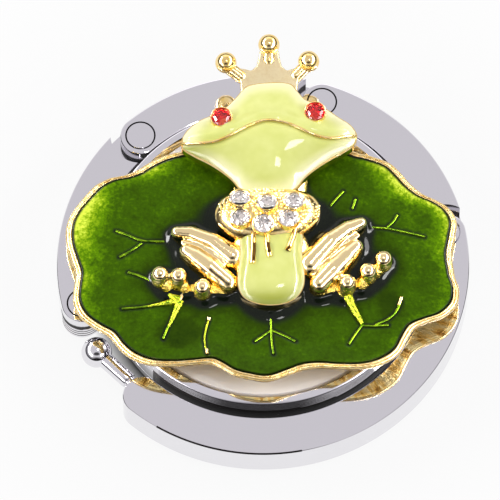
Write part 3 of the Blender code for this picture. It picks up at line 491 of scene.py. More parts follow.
def seam_shade_finish(name, low, high):
    """Chrome painted near black below one height as shade, and plain chrome above another."""
    material, tree, shader = start_material(name, CHROME_COLOUR, 0.08, 1.0)
    unshaded = map_range(tree, place_axes(tree)[1]["Z"], (low * MM, high * MM))
    mark = math_node(tree, "SUBTRACT", clouds(tree, 1800.0, 3.0), 0.5)
    mark = math_node(tree, "ADD", unshaded, mark)
    # The near black low down is painted shade, with cloudy edges.
    add_ramp(tree, shader, mark, [(0.3, (0.012, 0.010, 0.010)), (0.7, CHROME_COLOUR)])
    add_range(tree, shader, unshaded, 0.5, 0.06)
    return material


CHROME = chrome_finish("polished_chrome", CHROME_COLOUR, 0.03, 0.09)
DISH_CHROME = chrome_finish("frosted_dish", (0.88, 0.87, 0.87), 0.40, 0.55, 0.1)
GOLD = gold_finish(
    "polished_gold", (1.0, 0.79, 0.40), (0.93, 0.62, 0.16), 0.08, 0.20, 1400.0, 0.04)
CAST_GOLD = gold_finish(
    "rough_cast_gold", (1.0, 0.80, 0.42), (0.80, 0.52, 0.14), 0.12, 0.24, 2200.0, 0.06)
GRAIN_GOLD = gold_finish(
    "granule_gold", (1.0, 0.88, 0.52), (0.98, 0.80, 0.32), 0.12, 0.24, 1400.0, 0.04)
UNDERSIDE_SHADE_GOLD = ribbed_shaded_gold_finish()
SATIN_GOLD = gold_finish(
    "satin_gold", (0.82, 0.70, 0.43), (0.76, 0.62, 0.35), 0.34, 0.46, 1800.0, 0.02)
CARVED_GOLD = carved_gold_finish()
SLOT_SHADE_GOLD = gold_finish(
    "slot_shade_gold", (0.10, 0.05, 0.01), (0.03, 0.015, 0.004), 0.3, 0.5, 1800.0, 0.02)
# Chrome with painted shade low down, for the laps, the rivet grooves and one bevel.
LAP_SHADE_CHROME = seam_shade_finish("lap_shade_chrome", 3.2, 3.8)
DEEP_SHADE_CHROME = seam_shade_finish("deep_shade_chrome", 5.6, 6.4)
# Nearly black chrome that is painted shade, on the disc's wall and between the knuckle's layers.
WALL_SHADE_CHROME = chrome_finish("wall_shade_chrome", (0.030, 0.026, 0.026), 0.16, 0.34)
STEEL = chrome_finish("turned_steel", (0.56, 0.56, 0.58), 0.25, 0.35)
print("metal finishes:", CHROME.name, GOLD.name, CAST_GOLD.name, SATIN_GOLD.name)

# %% [markdown]
# ## Enamels, stones and rubber
# The leaf's enamel is clear green glass over a shaped metal bed. Its colour holds painted light
# and shade: it turns a bright lime where the rim curls towards the lamps, which is painted light,
# and almost black beside the rim, the frog and the veins, which is painted shade. The mesh
# stores those two things as the attributes painted_glow and edge, and the material turns them
# into colour. A clear coat gives the wet look, most of it where edge is high. The frog's lime
# enamel is opaque and pearly, paler where it thins towards its edges and darker where the
# attribute deep says so.

# %% Enamel, stone and rubber finishes
def attribute_socket(tree, name):
    return add_node(tree, "ShaderNodeAttribute", attribute_name=name).outputs["Fac"]


LEAF_COLOURS = [
    (0.0, (0.010, 0.026, 0.001)), (0.25, (0.024, 0.054, 0.001)), (0.45, (0.040, 0.100, 0.001)),
    (0.65, (0.100, 0.230, 0.001)), (0.80, (0.270, 0.430, 0.008)), (1.0, (0.680, 0.820, 0.070))]
SHADE_GREEN = (0.003, 0.006, 0.002)


def leaf_enamel_finish():
    material, tree, shader = start_material(
        "green_leaf_enamel", (0.05, 0.2, 0.01), 0.45, 0.0, Coat_Roughness=0.05,
        Coat_IOR=1.36, Specular_IOR_Level=0.02)
    painted_glow, edge = attribute_socket(tree, "painted_glow"), attribute_socket(tree, "edge")
    lift = math_node(tree, "SUBTRACT", clouds(tree, 520.0, 5.0), 0.5)
    # painted_glow is painted light: it raises the tone to bright lime where the rim curls to the
    # lamps.
    tone = math_node(tree, "MULTIPLY_ADD", lift, 0.55, painted_glow)
    spark = math_node(tree, "SUBTRACT", clouds(tree, 2100.0, 2.0), 0.5)
    spark = math_node(tree, "MULTIPLY", spark, painted_glow)
    tone = math_node(tree, "MULTIPLY_ADD", spark, 0.9, tone)
    # edge fades the green to near black: painted shade in the fillets and beside the veins.
    green = mix_colour(tree, edge, colour_ramp(tree, tone, LEAF_COLOURS), SHADE_GREEN)
    wet = math_node(tree, "MULTIPLY_ADD", edge, 0.64, 0.06)
    tree.links.new(green, shader.inputs["Base Color"])
    tree.links.new(wet, shader.inputs["Coat Weight"])
    return material


def lime_enamel_finish():
    material, tree, shader = start_material(
        "lime_enamel", (0.70, 0.76, 0.22), 0.35, 0.0, Coat_Weight=0.7, Coat_Roughness=0.05,
        Specular_IOR_Level=0.2)
    lime = colour_ramp(tree, clouds(tree, 150.0, 4.0), [
        (0.35, (0.58, 0.62, 0.155)), (0.65, (0.67, 0.70, 0.235))])
    lime = mix_colour(tree, attribute_socket(tree, "edge"), lime, (1.0, 0.96, 0.66))
    # The deep attribute darkens the lime towards a dark olive.
    lime = mix_colour(tree, attribute_socket(tree, "deep"), lime, (0.30, 0.34, 0.01))
    tree.links.new(lime, shader.inputs["Base Color"])
    return material


def stone_finish(name, colour, cloudy):
    """Cut glass with a breath of colour and dullness here and there."""
    material, tree, shader = start_material(
        name, colour, 0.0, 0.0, Transmission_Weight=1.0, IOR=1.6)
    mask = clouds(tree, 1500.0, 3.0)
    add_ramp(tree, shader, mask, [(0.3, cloudy), (0.6, colour)])
    add_range(tree, shader, mask, 0.03, 0.0)
    return material


def rubber_finish():
    material, tree, shader = start_material("grip_rubber", (0.02, 0.02, 0.02), 0.75, 0.0)
    add_bump(tree, shader, clouds(tree, 3000.0, 2.0), 0.5, 0.05)
    return material


LEAF_ENAMEL = leaf_enamel_finish()
LIME_ENAMEL = lime_enamel_finish()
CLEAR_STONE = stone_finish("clear_stone", (1.0, 0.99, 0.98), (0.94, 0.91, 0.90))
RED_STONE = stone_finish("red_stone", (1.0, 0.17, 0.20), (0.90, 0.04, 0.07))
FOIL = gold_finish(
    "stone_foil", (1.0, 0.98, 0.95), (0.84, 0.80, 0.78), 0.02, 0.08, 2200.0, 0.01, 0.95)
RED_FOIL = gold_finish(
    "red_stone_foil", (1.0, 0.62, 0.62), (0.85, 0.16, 0.20), 0.02, 0.08, 2200.0, 0.01, 0.95)
VEIN_GREEN = gold_finish(
    "vein_green_gold", (0.30, 0.50, 0.02), (0.06, 0.16, 0.01), 0.16, 0.28, 1500.0, 0.04)
VEIN_BRIGHT = gold_finish(
    "bright_vein_gold", (0.80, 0.86, 0.06), (0.10, 0.24, 0.01), 0.14, 0.3, 2400.0, 0.3)
RUBBER = rubber_finish()
MAGNET = gold_finish(
    "sintered_magnet", (0.34, 0.34, 0.35), (0.18, 0.18, 0.19), 0.38, 0.55, 3000.0, 0.03)
print("enamels:", LEAF_ENAMEL.name, LIME_ENAMEL.name)

# %% [markdown]
# ## Geometry Nodes trees
# Two things repeat here. Rivets, stones, bezels and the crown's balls are copies of one shape
# on a few seats, and the veins, the mouth line and the drips are ridges along a line. One
# tree sets copies on points, one turns lines into ridges, and a third scatters the gold
# granules of the collar. Each ends in Realize Instances and Set Material, and the result is
# then made a plain mesh.

# %% Build the trees
def geometry_tree(name, inputs):
    body = [("Geometry", "NodeSocketGeometry")]
    return node_group(name, "GeometryNodeTree", [
        (*body[0], None), *inputs, ("Material", "NodeSocketMaterial", None)], body)


def end_tree(tree, start, end, last_socket):
    """Realize Instances, then Set Material, then out."""
    real = add_node(tree, "GeometryNodeRealizeInstances", {"Geometry": last_socket})
    dressed = add_node(tree, "GeometryNodeSetMaterial", {
        "Geometry": real.outputs["Geometry"], "Material": start.outputs["Material"]})
    tree.links.new(dressed.outputs["Geometry"], end.inputs["Geometry"])
    return tree


def make_copies_tree():
    """One copy of a shape on each point, leaning as the point's own attribute says."""
    tree, start, end = geometry_tree("copies_on_seats", [
        ("Shape", "NodeSocketObject", None), ("Turn Step", "NodeSocketFloat", 0.0)])
    shape = add_node(tree, "GeometryNodeObjectInfo", {"Object": start.outputs["Shape"]})
    index = add_node(tree, "GeometryNodeInputIndex").outputs["Index"]
    turn = math_node(tree, "MULTIPLY", index, start.outputs["Turn Step"])
    spin = add_node(tree, "ShaderNodeCombineXYZ", {"Z": turn}).outputs["Vector"]
    lean = add_node(tree, "GeometryNodeInputNamedAttribute", {"Name": "lean"},
                    data_type="FLOAT_VECTOR").outputs["Attribute"]
    both = add_node(tree, "ShaderNodeVectorMath", {0: spin, 1: lean})
    seats = add_node(tree, "GeometryNodeInstanceOnPoints", {
        "Points": start.outputs["Geometry"], "Instance": shape.outputs["Geometry"],
        "Rotation": both.outputs["Vector"]})
    return end_tree(tree, start, end, seats.outputs["Instances"])


def make_ridge_tree():
    """A round ridge along each line, thinner towards its far end."""
    tree, start, end = geometry_tree("ridges_on_lines", [
        ("Radius", "NodeSocketFloat", 0.2 * MM), ("Tip Share", "NodeSocketFloat", 0.6)])
    curve = add_node(tree, "GeometryNodeMeshToCurve", {"Mesh": start.outputs["Geometry"]})
    along = add_node(tree, "GeometryNodeSplineParameter").outputs["Factor"]
    taper = map_range(tree, along, target=(1.0, start.outputs["Tip Share"]))
    sized = add_node(tree, "GeometryNodeSetCurveRadius", {
        "Curve": curve.outputs["Curve"], "Radius": taper})
    ring = add_node(tree, "GeometryNodeCurvePrimitiveCircle", {
        "Resolution": 12, "Radius": start.outputs["Radius"]})
    tube = add_node(tree, "GeometryNodeCurveToMesh", {
        "Curve": sized.outputs["Curve"], "Profile Curve": ring.outputs["Curve"],
        "Scale": taper, "Fill Caps": True})
    return end_tree(tree, start, end, tube.outputs["Mesh"])


def make_granule_tree():
    """Small grains of uneven size, scattered on a surface with a fixed seed."""
    tree, start, end = geometry_tree("granules_on_face", [
        ("Spacing", "NodeSocketFloat", 0.4 * MM), ("Grain", "NodeSocketFloat", 0.2 * MM),
        ("Seed", "NodeSocketInt", 7)])
    scatter = add_node(tree, "GeometryNodeDistributePointsOnFaces", distribute_method="POISSON")
    grain = add_node(tree, "GeometryNodeMeshIcoSphere", {
        "Radius": start.outputs["Grain"], "Subdivisions": 2})
    sizes = add_node(tree, "FunctionNodeRandomValue", {
        2: 0.7, 3: 1.25, "Seed": start.outputs["Seed"]})
    for label, value in (("Geometry", "Mesh"), ("Spacing", "Distance Min"), ("Seed", "Seed")):
        tree.links.new(start.outputs[label], scatter.inputs[value])
    scatter.inputs["Density Max"].default_value = 2.0e7
    grains = add_node(tree, "GeometryNodeInstanceOnPoints", {
        "Points": scatter.outputs["Points"], "Instance": grain.outputs["Mesh"],
        "Scale": sizes.outputs[1]})
    return end_tree(tree, start, end, grains.outputs["Instances"])


COPIES_TREE = make_copies_tree()
RIDGE_TREE = make_ridge_tree()
GRANULE_TREE = make_granule_tree()
print("trees:", COPIES_TREE.name, RIDGE_TREE.name, GRANULE_TREE.name)


# %% Run a tree on a mesh
def run_tree(thing, tree, values, sharp=SHARP):
    """Sets the inputs by their identifiers, then keeps the result as a plain mesh."""
    modifier = thing.modifiers.new(tree.name, "NODES")
    modifier.node_group = tree
    for item in tree.interface.items_tree:
        if item.in_out == "INPUT" and item.name in values:
            modifier[item.identifier] = values[item.name]
    return shade(to_plain_mesh(thing), sharp)


def copies(name, shape, points, material, turn=0.0, sharp=SHARP, leans=()):
    """Copies of a shape object on points; the shape is used up."""
    seats = raw_object(name, points, [], [])
    lean = seats.data.attributes.new("lean", "FLOAT_VECTOR", "POINT")
    for index, (back, side) in enumerate(leans):
        lean.data[index].vector = (-math.radians(back), 0.0, math.radians(side))
    thing = run_tree(seats, COPIES_TREE, {
        "Shape": shape, "Turn Step": turn, "Material": material}, sharp)
    discard(shape)
    return thing


def ridges(name, lines, radius, tip_share, material):
    """Ridges along lines of points."""
    verts, edges = [], []
    for line in lines:
        edges += [(len(verts) + i, len(verts) + i + 1) for i in range(len(line) - 1)]
        verts += line
    return run_tree(raw_object(name, verts, edges, []), RIDGE_TREE, {
        "Radius": radius * MM, "Tip Share": tip_share, "Material": material})


# %% [markdown]
# ## The ring of chromed links
# Each link is an arc of flat bar, rounded at its hinges. At a hinge, half of the thickness is
# milled away from each link, so that they lap. The plan is drawn from the same numbers as in
# the CAD model but in finer steps, raised to its thickness, given a small rounded edge, and
# then milled with Boolean cutters. Flat faces must stay flat in a mirror finish, so every
# edge that turns by more than twelve degrees is kept sharp. The grooves round the rivets and
# the low walls of the laps are painted near black as shade, with a darker chrome finish.

# %% Sizes of the ring, in millimetres
RING_OUT, RING_IN = 23.0, 18.6
RING_LOW, RING_HIGH = 0.35, 5.0
LUG, PIN_CIRCLE = 2.25, 20.75
LAP_HEIGHT, LAP_GAP = 2.675, 0.06
LOWER_LUG_TOP, UPPER_LUG_UNDER = LAP_HEIGHT - LAP_GAP / 2, LAP_HEIGHT + LAP_GAP / 2
UPPER_RECESS, LOWER_RECESS = 3.35, 2.42
BELOW_ALL, ABOVE_ALL = -1.0, 7.0
PINS = [math.radians(a) for a in (193.5, 131.5, 71.4, 10.5)]
HOOK_TIP = math.radians(-130.0)
RIVET_HEAD, RIVET_GROOVE, GROOVE_FLOOR, RIVET_HOLE = 1.6, 0.11, 4.25, 1.0
FLAT_SHARP = math.radians(12)
WALL_BAND = 0.15
MARK_REACH, MARK_LOW, MARK_HIGH, MARK_RIGHT = 1.9, 3.0, 4.9, 20.0


def on_ring(radius, angle, z=0.0):
    return Vector((radius * math.cos(angle), radius * math.sin(angle), z))


def turn_degrees(point):
    return math.degrees(math.atan2(point.y, point.x))


def arc(centre, radius, start, end, step=math.radians(1.5)):
    steps = max(3, math.ceil(abs(end - start) / step))
    turns = [start + (end - start) * i / steps for i in range(steps + 1)]
    return [(centre[0] + radius * math.cos(a), centre[1] + radius * math.sin(a)) for a in turns]


def link_plan(start, end):
    """Outline of a link, from its first pin clockwise to its last, and back."""
    while end > start:
        end -= math.tau
    fold = math.acos((LUG ** 2 + PIN_CIRCLE ** 2 - RING_IN ** 2) / (2 * LUG * PIN_CIRCLE))
    reach = math.asin(LUG * math.sin(fold) / RING_IN)
    first, last = on_ring(PIN_CIRCLE, start), on_ring(PIN_CIRCLE, end)
    fine = math.radians(5)
    plan = arc((0, 0), RING_OUT, start, end)[:-1]
    plan += arc(last, LUG, end, end - (math.pi - fold), fine)
    plan += arc((0, 0), RING_IN, end - reach, start + reach)[1:-1]
    plan += arc(first, LUG, start + math.pi - fold, start, fine)[:-1]
    return plan


def raised(name, plan, low, high):
    """A prism over a closed plan."""
    count = len(plan)
    verts = [(x, y, z) for z in (low, high) for x, y in plan]
    faces = [tuple(range(count)), tuple(range(count, 2 * count))]
    faces += [(i, (i + 1) % count, count + (i + 1) % count, count + i) for i in range(count)]
    return mesh_object(name, verts, faces, FLAT_SHARP)


def mill(thing, tool):
    """One exact Boolean cut; the tool is used up."""
    modified(thing, "BOOLEAN", operation="DIFFERENCE", solver="EXACT", object=tool)
    discard(tool)


def round_edges(thing, width, segments=3):
    return modified(thing, "BEVEL", width=width * MM, segments=segments, limit_method="ANGLE",
                    angle_limit=math.radians(50))


def mill_laps_and_holes(link, lower_pins, upper_pins):
    laps = [(pin, LOWER_RECESS, BELOW_ALL, UPPER_LUG_UNDER) for pin in lower_pins]
    laps += [(pin, UPPER_RECESS, LOWER_LUG_TOP, ABOVE_ALL) for pin in upper_pins]
    for pin, radius, low, high in laps:
        plan = arc(on_ring(PIN_CIRCLE, pin), radius, 0, math.tau, math.radians(4))[:-1]
        mill(link, raised("tool", plan, low, high))
    groove_out = RIVET_HEAD + RIVET_GROOVE
    profile = [(0, ABOVE_ALL), (groove_out, ABOVE_ALL), (groove_out, GROOVE_FLOOR),
               (RIVET_HOLE, GROOVE_FLOOR), (RIVET_HOLE, BELOW_ALL), (0, BELOW_ALL)]
    for pin in lower_pins:
        mill(link, turned("tool", profile, 48, on_ring(PIN_CIRCLE, pin)))


def paint_seam_shade(link, pins):
    """Painted shade, as near black chrome, in the rivet grooves and low on the walls of the laps."""
    def from_pin(centre):
        return min((centre - on_ring(PIN_CIRCLE, pin, centre.z)).length for pin in pins)

    def in_lap(centre, normal):
        near = from_pin(centre)
        near_wall = near < LUG + WALL_BAND or abs(near - UPPER_RECESS) < WALL_BAND
        return near_wall and abs(normal.z) < 0.5 and LAP_HEIGHT < centre.z < RING_HIGH - 0.01

    def in_groove(centre, normal):
        marked = MARK_LOW < centre.z < MARK_HIGH and centre.x < MARK_RIGHT
        return marked and from_pin(centre) < MARK_REACH

    # Both finishes paint shade: low on the lap walls and deep in the rivet grooves.
    refinish(link, LAP_SHADE_CHROME, in_lap)
    refinish(link, DEEP_SHADE_CHROME, in_groove)


def make_link(name, start, end, body, lower_pins, upper_pins, edge=0.14, tools=()):
    link = raised(name, link_plan(start, end), RING_LOW, RING_HIGH)
    round_edges(link, edge)
    mill_laps_and_holes(link, lower_pins, upper_pins)
    for tool in tools:
        mill(link, tool)
    tidy_normals(link, FLAT_SHARP)
    paint(link, CHROME)
    paint_seam_shade(link, lower_pins + upper_pins)
    return seat(link, body, "chrome_plate", name)


# %% Two of the three short links
make_link("link_b", PINS[1], PINS[2], "second_link", PINS[1:2], PINS[2:3])
make_link("link_c", PINS[2], PINS[3], "third_link", PINS[2:3], PINS[3:])

# %% [markdown]
# The first link also leaves room for the knuckle that carries it. The knuckle's neck runs
# inwards under the link to the disc, so a box in line with the neck is milled from its
# underside. The knuckle itself is a round lug in thin layers, whose outer edge shows beside
# the ball, and the swivel pin's bore runs into lug and neck. The grooves between the layers
# are painted nearly black as shade.

# %% The first link and its knuckle
NECK_START, NECK_HALF = 18.2, 1.35
PIN_BORE, PIN_HIGH, BORE_START, BORE_LENGTH = 0.65, 1.5125, 17.0, 3.8


def neck_plan(grow):
    out = on_ring(1.0, PINS[0])
    side = Vector((-out.y, out.x, 0.0))
    near, half = NECK_START - grow, NECK_HALF + grow
    return [tuple((out * r + side * s).xy) for r, s in (
        (near, -half), (PIN_CIRCLE, -half), (PIN_CIRCLE, half), (near, half))]


def bored_for_pin(thing):
    """The swivel pin's bore, from the disc's side to just past the rivet's line."""
    out = on_ring(1.0, PINS[0])
    bore = column("tool", PIN_BORE, 0, BORE_LENGTH, 32)
    mill(thing, lay_along(bore, out * BORE_START + Vector((0, 0, PIN_HIGH)), out))
    return tidy_normals(thing, FLAT_SHARP)


def make_knuckle():
    layers = [(LUG - cut, z + rise) for z in (2.1, 1.55, 1.0)
              for cut, rise in ((0.0, 0.1), (0.13, 0.0), (0.0, -0.1))]
    profile = [(0, LOWER_LUG_TOP), (LUG - 0.1, LOWER_LUG_TOP), (LUG, LOWER_LUG_TOP - 0.1),
               *layers, (LUG, 0.47), (LUG - 0.12, RING_LOW), (0, RING_LOW)]
    pin = on_ring(PIN_CIRCLE, PINS[0])
    lug = turned("swivel_knuckle", profile, 96, pin, FLAT_SHARP)
    neck = raised("knuckle_neck", neck_plan(0.0), RING_LOW, LOWER_LUG_TOP - 0.001)
    for part, nodes in ((lug, ("swivel_knuckle",)), (neck, ())):
        seat(paint(bored_for_pin(part), CHROME), "knuckle", "chrome_plate", *nodes)

    def between_layers(centre, normal):
        out = (centre.xy - pin.xy).length
        return abs(normal.z) < 0.95 and 2.05 < out < LUG - 0.02 and 0.6 < centre.z < 2.4

    # Painted shade: the grooves between the lug's layers are nearly black.
    refinish(lug, WALL_SHADE_CHROME, between_layers)


make_link("link_a", PINS[0], PINS[1], "first_link", PINS[:1], PINS[1:2],
          tools=[raised("tool", neck_plan(0.15), BELOW_ALL, UPPER_LUG_UNDER)])
make_knuckle()
for node, finish in (("swivel_pin", STEEL), ("catch_magnet", MAGNET)):
    paint(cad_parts[node], finish)

# %% [markdown]
# ## The hook link and its ball
# The long front link ends in a rounded tip, drilled for a stepped rod. The rod ends in a ball
# that the magnet in the disc draws in. Rod and ball are one turned piece, so a single profile
# makes both: half a circle for the ball, then the two steps of the rod. The link's outer
# bevel mirrors something dark along one stretch, so that stretch is painted near black as a
# painted reflection.

# %% Hook link and rod
BALL_R, ROD_R, NECK_R = 1.72, 0.94, 0.76
BALL_AT = on_ring(20.97, math.radians(207.9), LAP_HEIGHT)
SOCKET_AT = on_ring(19.9, math.radians(226.4), LAP_HEIGHT)
ROD_LINE = (SOCKET_AT - BALL_AT).normalized()
ROD_LENGTH = (SOCKET_AT - BALL_AT).length + 1.6


def make_hook_link():
    socket = column("tool", NECK_R + 0.03, 0, ROD_LENGTH + 0.05, 32)
    link = make_link("hook_link", PINS[3], HOOK_TIP, "hook", PINS[3:], [], 0.16,
                     [lay_along(socket, BALL_AT, ROD_LINE)])

    def dark_reflection_bevel(centre, normal):
        tilted = 0.2 < normal.z < 0.98 and RING_OUT - 0.3 < centre.xy.length
        return tilted and -121 < turn_degrees(centre) < -79

    # Painted reflection: the outer bevel near the front is painted near black.
    refinish(link, DEEP_SHADE_CHROME, dark_reflection_bevel)


def make_rod():
    step = ROD_LENGTH * 0.8 - 1.6
    start = math.asin(ROD_R / BALL_R)
    turns = [math.pi + (start - math.pi) * i / 28 for i in range(1, 29)]
    ball = [(BALL_R * math.sin(a), BALL_R * math.cos(a)) for a in turns]
    profile = [(0, -BALL_R), *ball, (ROD_R, step - 0.15), (ROD_R - 0.06, step),
               (NECK_R, step + 0.06), (NECK_R, ROD_LENGTH), (0, ROD_LENGTH)]
    rod = lay_along(turned("tip_rod", profile, 48, sharp=math.radians(30)), BALL_AT, ROD_LINE)
    return seat(paint(rod, CHROME), "hook", "chrome_plate", "tip_rod")


make_hook_link()
make_rod()

# %% [markdown]
# ## Hinge rivets
# The four rivets are the same turned part, flush with the link and ringed by a dark groove.
# Each rides on the body that its tail is set in, so Geometry Nodes place one copy for each
# body instead of all four at once.

# %% Rivets from one shape
def rivet_shape():
    top = RING_HIGH
    return turned("rivet_shape", [
        (0, top + 0.02), (1.0, top + 0.015), (RIVET_HEAD - 0.07, top), (RIVET_HEAD, top - 0.08),
        (RIVET_HEAD, top - 0.72), (0.95, top - 0.74), (0.95, 0.85), (1.4, 0.8), (1.4, RING_LOW),
        (0, RING_LOW)], 64)


RIVET_BODIES = ["knuckle", "first_link", "second_link", "third_link"]
for number, (pin, body) in enumerate(zip(PINS, RIVET_BODIES), start=1):
    name = f"hinge_rivet_{number}"
    rivet = copies(name, rivet_shape(), [on_ring(PIN_CIRCLE, pin)], CHROME)
    seat(rivet, body, "chrome_plate", name)

# %% [markdown]
# ## The disc
# The disc is turned on a lathe: a flat rim, a small bevel that mirrors the gold leaf, a
# shallow bright dish, and fine grooves round the wall. It is one closed profile turned about
# Z. The rim is mirror bright while the dish is softer, so faces inside the bevel get a second
# finish. Low on the wall the plating is painted nearly black as shade, which is a third one;
# that band of painted shade is narrower towards the right and leaves out a stretch at the left.

# %% Disc and pad
TRAY_R, TRAY_HIGH, TRAY_LOW = 17.8, 7.0, 0.5
DISH_R, DISH_Z, DISH_CURL = 16.4, 6.2, 0.28
BAND_R, BAND_LOW, BAND_HIGH, BAND_NARROWING = 17.0, 1.5, 5.1, 1.2
NARROWING_TURNS, UNSHADED_TURNS = (-95, -35), (-168, -134)
GROOVES = (6.5, 6.2, 5.9, 5.55, 5.2, 4.85, 4.5, 2.2)


def groove(z, depth=0.12, width=0.15):
    return [(TRAY_R, z + width / 2), (TRAY_R - depth, z), (TRAY_R, z - width / 2)]


def in_dish(centre, normal):
    return centre.xy.length < DISH_R - 0.1 and DISH_Z / 2 < centre.z


def in_shade_band(centre, normal):
    turn = turn_degrees(centre)
    top = BAND_HIGH - BAND_NARROWING * ease(*NARROWING_TURNS, turn)
    unshaded = UNSHADED_TURNS[0] < turn < UNSHADED_TURNS[1]
    return BAND_R < centre.xy.length and BAND_LOW < centre.z < top and not unshaded


def make_tray():
    dish = [(DISH_R * k / 8, DISH_Z + DISH_CURL * (k / 8) ** 4) for k in range(1, 9)]
    wall = [p for z in GROOVES for p in groove(z)]
    profile = [(0, DISH_Z), *dish, (16.55, 6.62), (16.9, 6.92), (17.0, TRAY_HIGH),
               (17.66, TRAY_HIGH), (17.76, 6.96), (TRAY_R, 6.86), *wall, (TRAY_R, 1.0),
               (17.3, TRAY_LOW), (16.5, TRAY_LOW), (16.5, 0.8), (0, 0.8)]
    tray = paint(turned("tray", profile, 240, sharp=math.radians(14)), CHROME)
    refinish(tray, DISH_CHROME, in_dish)
    # Painted shade: a band of nearly black chrome low on the wall.
    refinish(tray, WALL_SHADE_CHROME, in_shade_band)
    return seat(tray, "disc", "chrome_plate", "tray")


def make_pad():
    profile = [(0, 0.8), (16.4, 0.8), (16.4, 0.3), (16.3, 0.1), (16.1, 0), (0, 0)]
    pad = turned("rubber_pad", profile, 128)
    return seat(paint(pad, RUBBER), "disc", "rubber", "rubber_pad")


make_tray()
make_pad()

# %% [markdown]
# ## The lily pad
# The leaf is a thin casting whose rim waves in and out and up and down. Its height follows one
# rule: level in the middle, and rising to the rim with the fourth power of the distance. The
# rim rows give the distance and the height for each direction. The cross section has a round
# bead at the rim, so the rings of the loft walk along that section, from the middle of the
# underside round the bead and back over the top.

# %% Rim rows and the height rule
LEAF_R, LEAF_MIDDLE, RIM_LOW, RIM_RISE, LEAF_THICK = 22.0, 8.3, 6.95, 3.3, 0.62
ENAMEL_THICK, BED_GAP = 0.3, 0.02
BOSS_R, BOSS_TOP = 8.0, 7.9
RIM_ROWS = [
    (0, 0.957, 0.04), (6, 0.978, 0.03), (11, 1.0, 0.02), (15, 0.982, 0.03),
    (18, 0.943, 0.06), (22, 0.88, 0.10), (27, 0.843, 0.16), (32, 0.828, 0.21),
    (37, 0.815, 0.24), (42, 0.78, 0.26), (48, 0.735, 0.27), (60, 0.68, 0.28),
    (90, 0.60, 0.28), (115, 0.655, 0.28), (127, 0.698, 0.27), (134, 0.738, 0.26),
    (140, 0.765, 0.26), (145, 0.788, 0.25), (149, 0.828, 0.23), (152, 0.882, 0.21),
    (156, 0.93, 0.17), (161, 0.963, 0.11), (167, 1.0, 0.02), (171, 1.01, 0.0),
    (176, 1.0, 0.0), (181, 0.975, 0.0), (186, 0.956, 0.0), (190, 0.972, 0.0),
    (195, 0.994, 0.0), (200, 0.985, 0.04), (205, 0.945, 0.10), (210, 0.902, 0.18),
    (216, 0.898, 0.29), (221, 0.888, 0.40), (227, 0.856, 0.52), (233, 0.804, 0.64),
    (240, 0.745, 0.78), (247, 0.70, 0.88), (252, 0.703, 0.94), (258, 0.727, 0.98),
    (265, 0.739, 1.0), (272, 0.747, 1.0), (280, 0.724, 1.0), (287, 0.713, 0.98),
    (294, 0.732, 0.92), (301, 0.782, 0.85), (308, 0.84, 0.77), (314, 0.877, 0.69),
    (320, 0.893, 0.60), (326, 0.877, 0.52), (331, 0.877, 0.47), (335, 0.92, 0.42),
    (339, 0.985, 0.36), (344, 1.02, 0.25), (349, 1.01, 0.14), (353, 0.978, 0.07)]
LEAF_SPOKES = 420


def rim_at(degrees):
    radius_share, rise_share = round_table(RIM_ROWS, degrees)
    return LEAF_R * radius_share, RIM_LOW + RIM_RISE * rise_share


RIM = [rim_at(360 * i / LEAF_SPOKES) for i in range(LEAF_SPOKES)]


def leaf_z(x, y):
    """Height of the metal bed, and the share of the way to the rim."""
    rim_radius, rim_z = rim_at(math.degrees(math.atan2(y, x)))
    share = math.hypot(x, y) / rim_radius
    return LEAF_MIDDLE + (rim_z - LEAF_MIDDLE) * share ** 4, share


def leaf_ring(inset, lift, share=None):
    """Points all round at a distance in from the rim, or at a share of it, and a lift."""
    ring = []
    for i, (radius, rim_z) in enumerate(RIM):
        part = share if share is not None else (radius - inset) / radius
        z = LEAF_MIDDLE + (rim_z - LEAF_MIDDLE) * part ** 4 + lift
        ring.append(on_ring(radius * part, math.tau * i / LEAF_SPOKES, z))
    return ring


RIM_SECTION = [
    (1.5, -0.62), (0.7, -0.64), (0.3, -0.6), (0.1, -0.46), (0.02, -0.26), (0.0, -0.05),
    (0.02, 0.12), (0.09, 0.26), (0.2, 0.35), (0.31, 0.37), (0.39, 0.33), (0.43, 0.27),
    (0.48, 0.33), (0.57, 0.38), (0.66, 0.36), (0.74, 0.28), (0.8, 0.14), (0.83, 0.0),
    (0.9, -0.02)]


def make_lily_pad():
    under = [leaf_ring(0, -LEAF_THICK, share) for share in (0.36, 0.5, 0.64, 0.76, 0.86)]
    bead = [leaf_ring(inset, lift) for inset, lift in RIM_SECTION]
    bed = [leaf_ring(0, 0.0, share) for share in (0.9, 0.8, 0.6, 0.4, 0.2)]
    leaf = loft("lily_pad", under + bead + bed, (0, 0, LEAF_MIDDLE - LEAF_THICK),
                (0, 0, LEAF_MIDDLE), math.radians(60))
    gild(column("leaf_boss", BOSS_R, DISH_Z + 0.02, BOSS_TOP, 96), GOLD)
    gild(leaf, CAST_GOLD, "lily_pad")
    # Faces that look down take the underside gold, whose dark brown is painted shade.
    refinish(leaf, UNDERSIDE_SHADE_GOLD, lambda centre, normal: normal.z < -0.5)


make_lily_pad()

# %% [markdown]
# ## Where the frog stands
# Glossy enamel climbs a little against whatever it meets, and looks nearly black in that
# narrow fillet. To shape and colour it, the leaf needs to know how far each of its points is
# from the frog. The frog's plan is described by ellipses and by tapering bars, whose
# distances are easy to compute. The same bars make the legs later. Each limb is a row of
# points with a radius, then the height of its line and its flatness.

